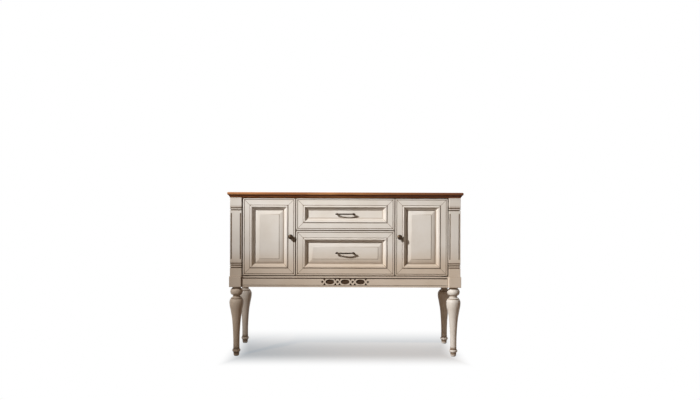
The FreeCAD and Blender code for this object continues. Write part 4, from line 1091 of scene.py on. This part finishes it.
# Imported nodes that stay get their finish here; those that aren't listed are steel.
KEPT = {
    "front_apron": apron_paint, "bottom_panel": floor_paint, "shelves": level_paint, "fret_backing": fret,
    "back_panel": box_wood, "back_trim": trim_walnut_painted_light, "foot_glides": glide, "door_catches": catch,
    "pivot_plates": bronze, "left_door_pivots": bronze, "right_door_pivots": bronze,
}
for name, node in NODES.items():
    if not node.hide_render:
        node.data.materials.clear()
        node.data.materials.append(KEPT.get(name, steel))

# Studio: a pale floor that is plain white away from the object, a warm surround that shows as white, a soft-edged
# lamp from the left front, a weak one from behind and a low, narrow one on the left legs. Fades are in metres.
FLOOR_HALF = 9.0
FLOOR_TONE = (0.36, 0.265, 0.19, 1)
VEIL_TONE = (0.77, 0.89, 0.98, 1)
VEIL_STRENGTH = 0.45
FADE_ASIDE = (0.575, 0.735)
FADE_FRONT = (0.12, 0.42)
FADE_BACK = (-0.1, 0.62)
FILL_TONE = (1.0, 0.73, 0.52, 1)
FILL_STRENGTH = 0.12
WHITE = (1, 1, 1, 1)

scene.view_settings.view_transform = "Standard"


def floor_finish():
    """Pale floor that keeps the object's shadow under it and fades to plain white round about.

    To the eye, a veil of plain light lies over the lit floor.
    """
    ground = Finish("pale_floor", Roughness=0.9, Specular_IOR_Level=0.0, Base_Color=FLOOR_TONE)
    veil = ground.node("ShaderNodeEmission", {}, {"Color": VEIL_TONE, "Strength": VEIL_STRENGTH})
    shown = ground.node("ShaderNodeMixShader", {}, {0: ground.seen(), 2: veil})
    lit = ground.node("ShaderNodeAddShader", {}, {0: Socket(ground, ground.shader.outputs[0]), 1: shown})
    plain = ground.node("ShaderNodeEmission", {}, {"Color": WHITE})
    y = ground.axis("y")
    aside = abs(ground.axis("x")).step(*FADE_ASIDE)
    away = aside.at_least((y * -1.0).step(*FADE_FRONT)).at_least(y.step(*FADE_BACK))
    ground.surface(ground.node("ShaderNodeMixShader", {}, {0: away * ground.seen(), 1: lit, 2: plain}),
                   "Material Output")
    return ground.material


floor_mesh = bpy.data.meshes.new("floor")
floor_corners = rectangle((-FLOOR_HALF, -FLOOR_HALF), (FLOOR_HALF, FLOOR_HALF))
floor_mesh.from_pydata([(*corner, 0) for corner in floor_corners], [], [(0, 1, 2, 3)])
floor_mesh.materials.append(floor_finish())
floor = new_object("floor", floor_mesh)

world = bpy.data.worlds.new("studio")
world.use_nodes = True
scene.world = world
surround = Nodes(world.node_tree)
surround.tree.nodes.remove(surround.tree.nodes["Background"])
sky = surround.node("ShaderNodeBackground", {}, {"Color": WHITE})
fill = surround.node("ShaderNodeBackground", {}, {"Color": FILL_TONE, "Strength": FILL_STRENGTH})
surround.surface(surround.node("ShaderNodeMixShader", {}, {0: surround.seen(), 1: fill, 2: sky}), "World Output")


def add_lamp(kind, name, location, target, **values):
    """A lamp of one kind that looks at a point."""
    data = bpy.data.lights.new(name, kind)
    for setting, value in values.items():
        setattr(data, setting, value)
    lamp = new_object(name, data)
    lamp.location = location
    lamp.rotation_euler = (Vector(target) - lamp.location).to_track_quat("-Z", "Y").to_euler()


add_lamp("SPOT", "key", (-2.6, -2.4, 2.8), (1.1, -0.2, 1.45), energy=930, color=(1.0, 0.99, 0.975),
         spot_size=math.radians(66.5), spot_blend=0.95, shadow_soft_size=0.12)
add_lamp("AREA", "rear", (1.5, 2.4, 1.9), (0, 0, 0.6), energy=15, color=(1.0, 0.97, 0.93), size=1.5)
add_lamp("SPOT", "low", (-2.3, -2.0, 0.25), (-0.6, 0.1, 0.2), energy=44, color=(1.0, 0.85, 0.7),
         spot_size=math.radians(12), spot_blend=1.0, shadow_soft_size=0.15)

# Camera: the photograph's width, focal length and shift in pixels, its place in metres and its roll in degrees.
PHOTO_WIDTH = 700
FOCAL_PIXELS = 621
SHIFT_ACROSS, SHIFT_UP = 8, 0.5
SENSOR_WIDTH = 36
CAMERA_PLACE = (-0.020, -3.893, 0.932)
CAMERA_ROLL = -0.19
camera_data = bpy.data.cameras.new("camera")
camera_data.sensor_width = SENSOR_WIDTH
camera_data.lens = FOCAL_PIXELS * SENSOR_WIDTH / PHOTO_WIDTH
camera_data.shift_x = SHIFT_ACROSS / PHOTO_WIDTH
camera_data.shift_y = SHIFT_UP / PHOTO_WIDTH
camera = new_object("camera", camera_data)
camera.location = CAMERA_PLACE
camera.rotation_euler = (math.radians(90), math.radians(CAMERA_ROLL), 0)
scene.camera = camera
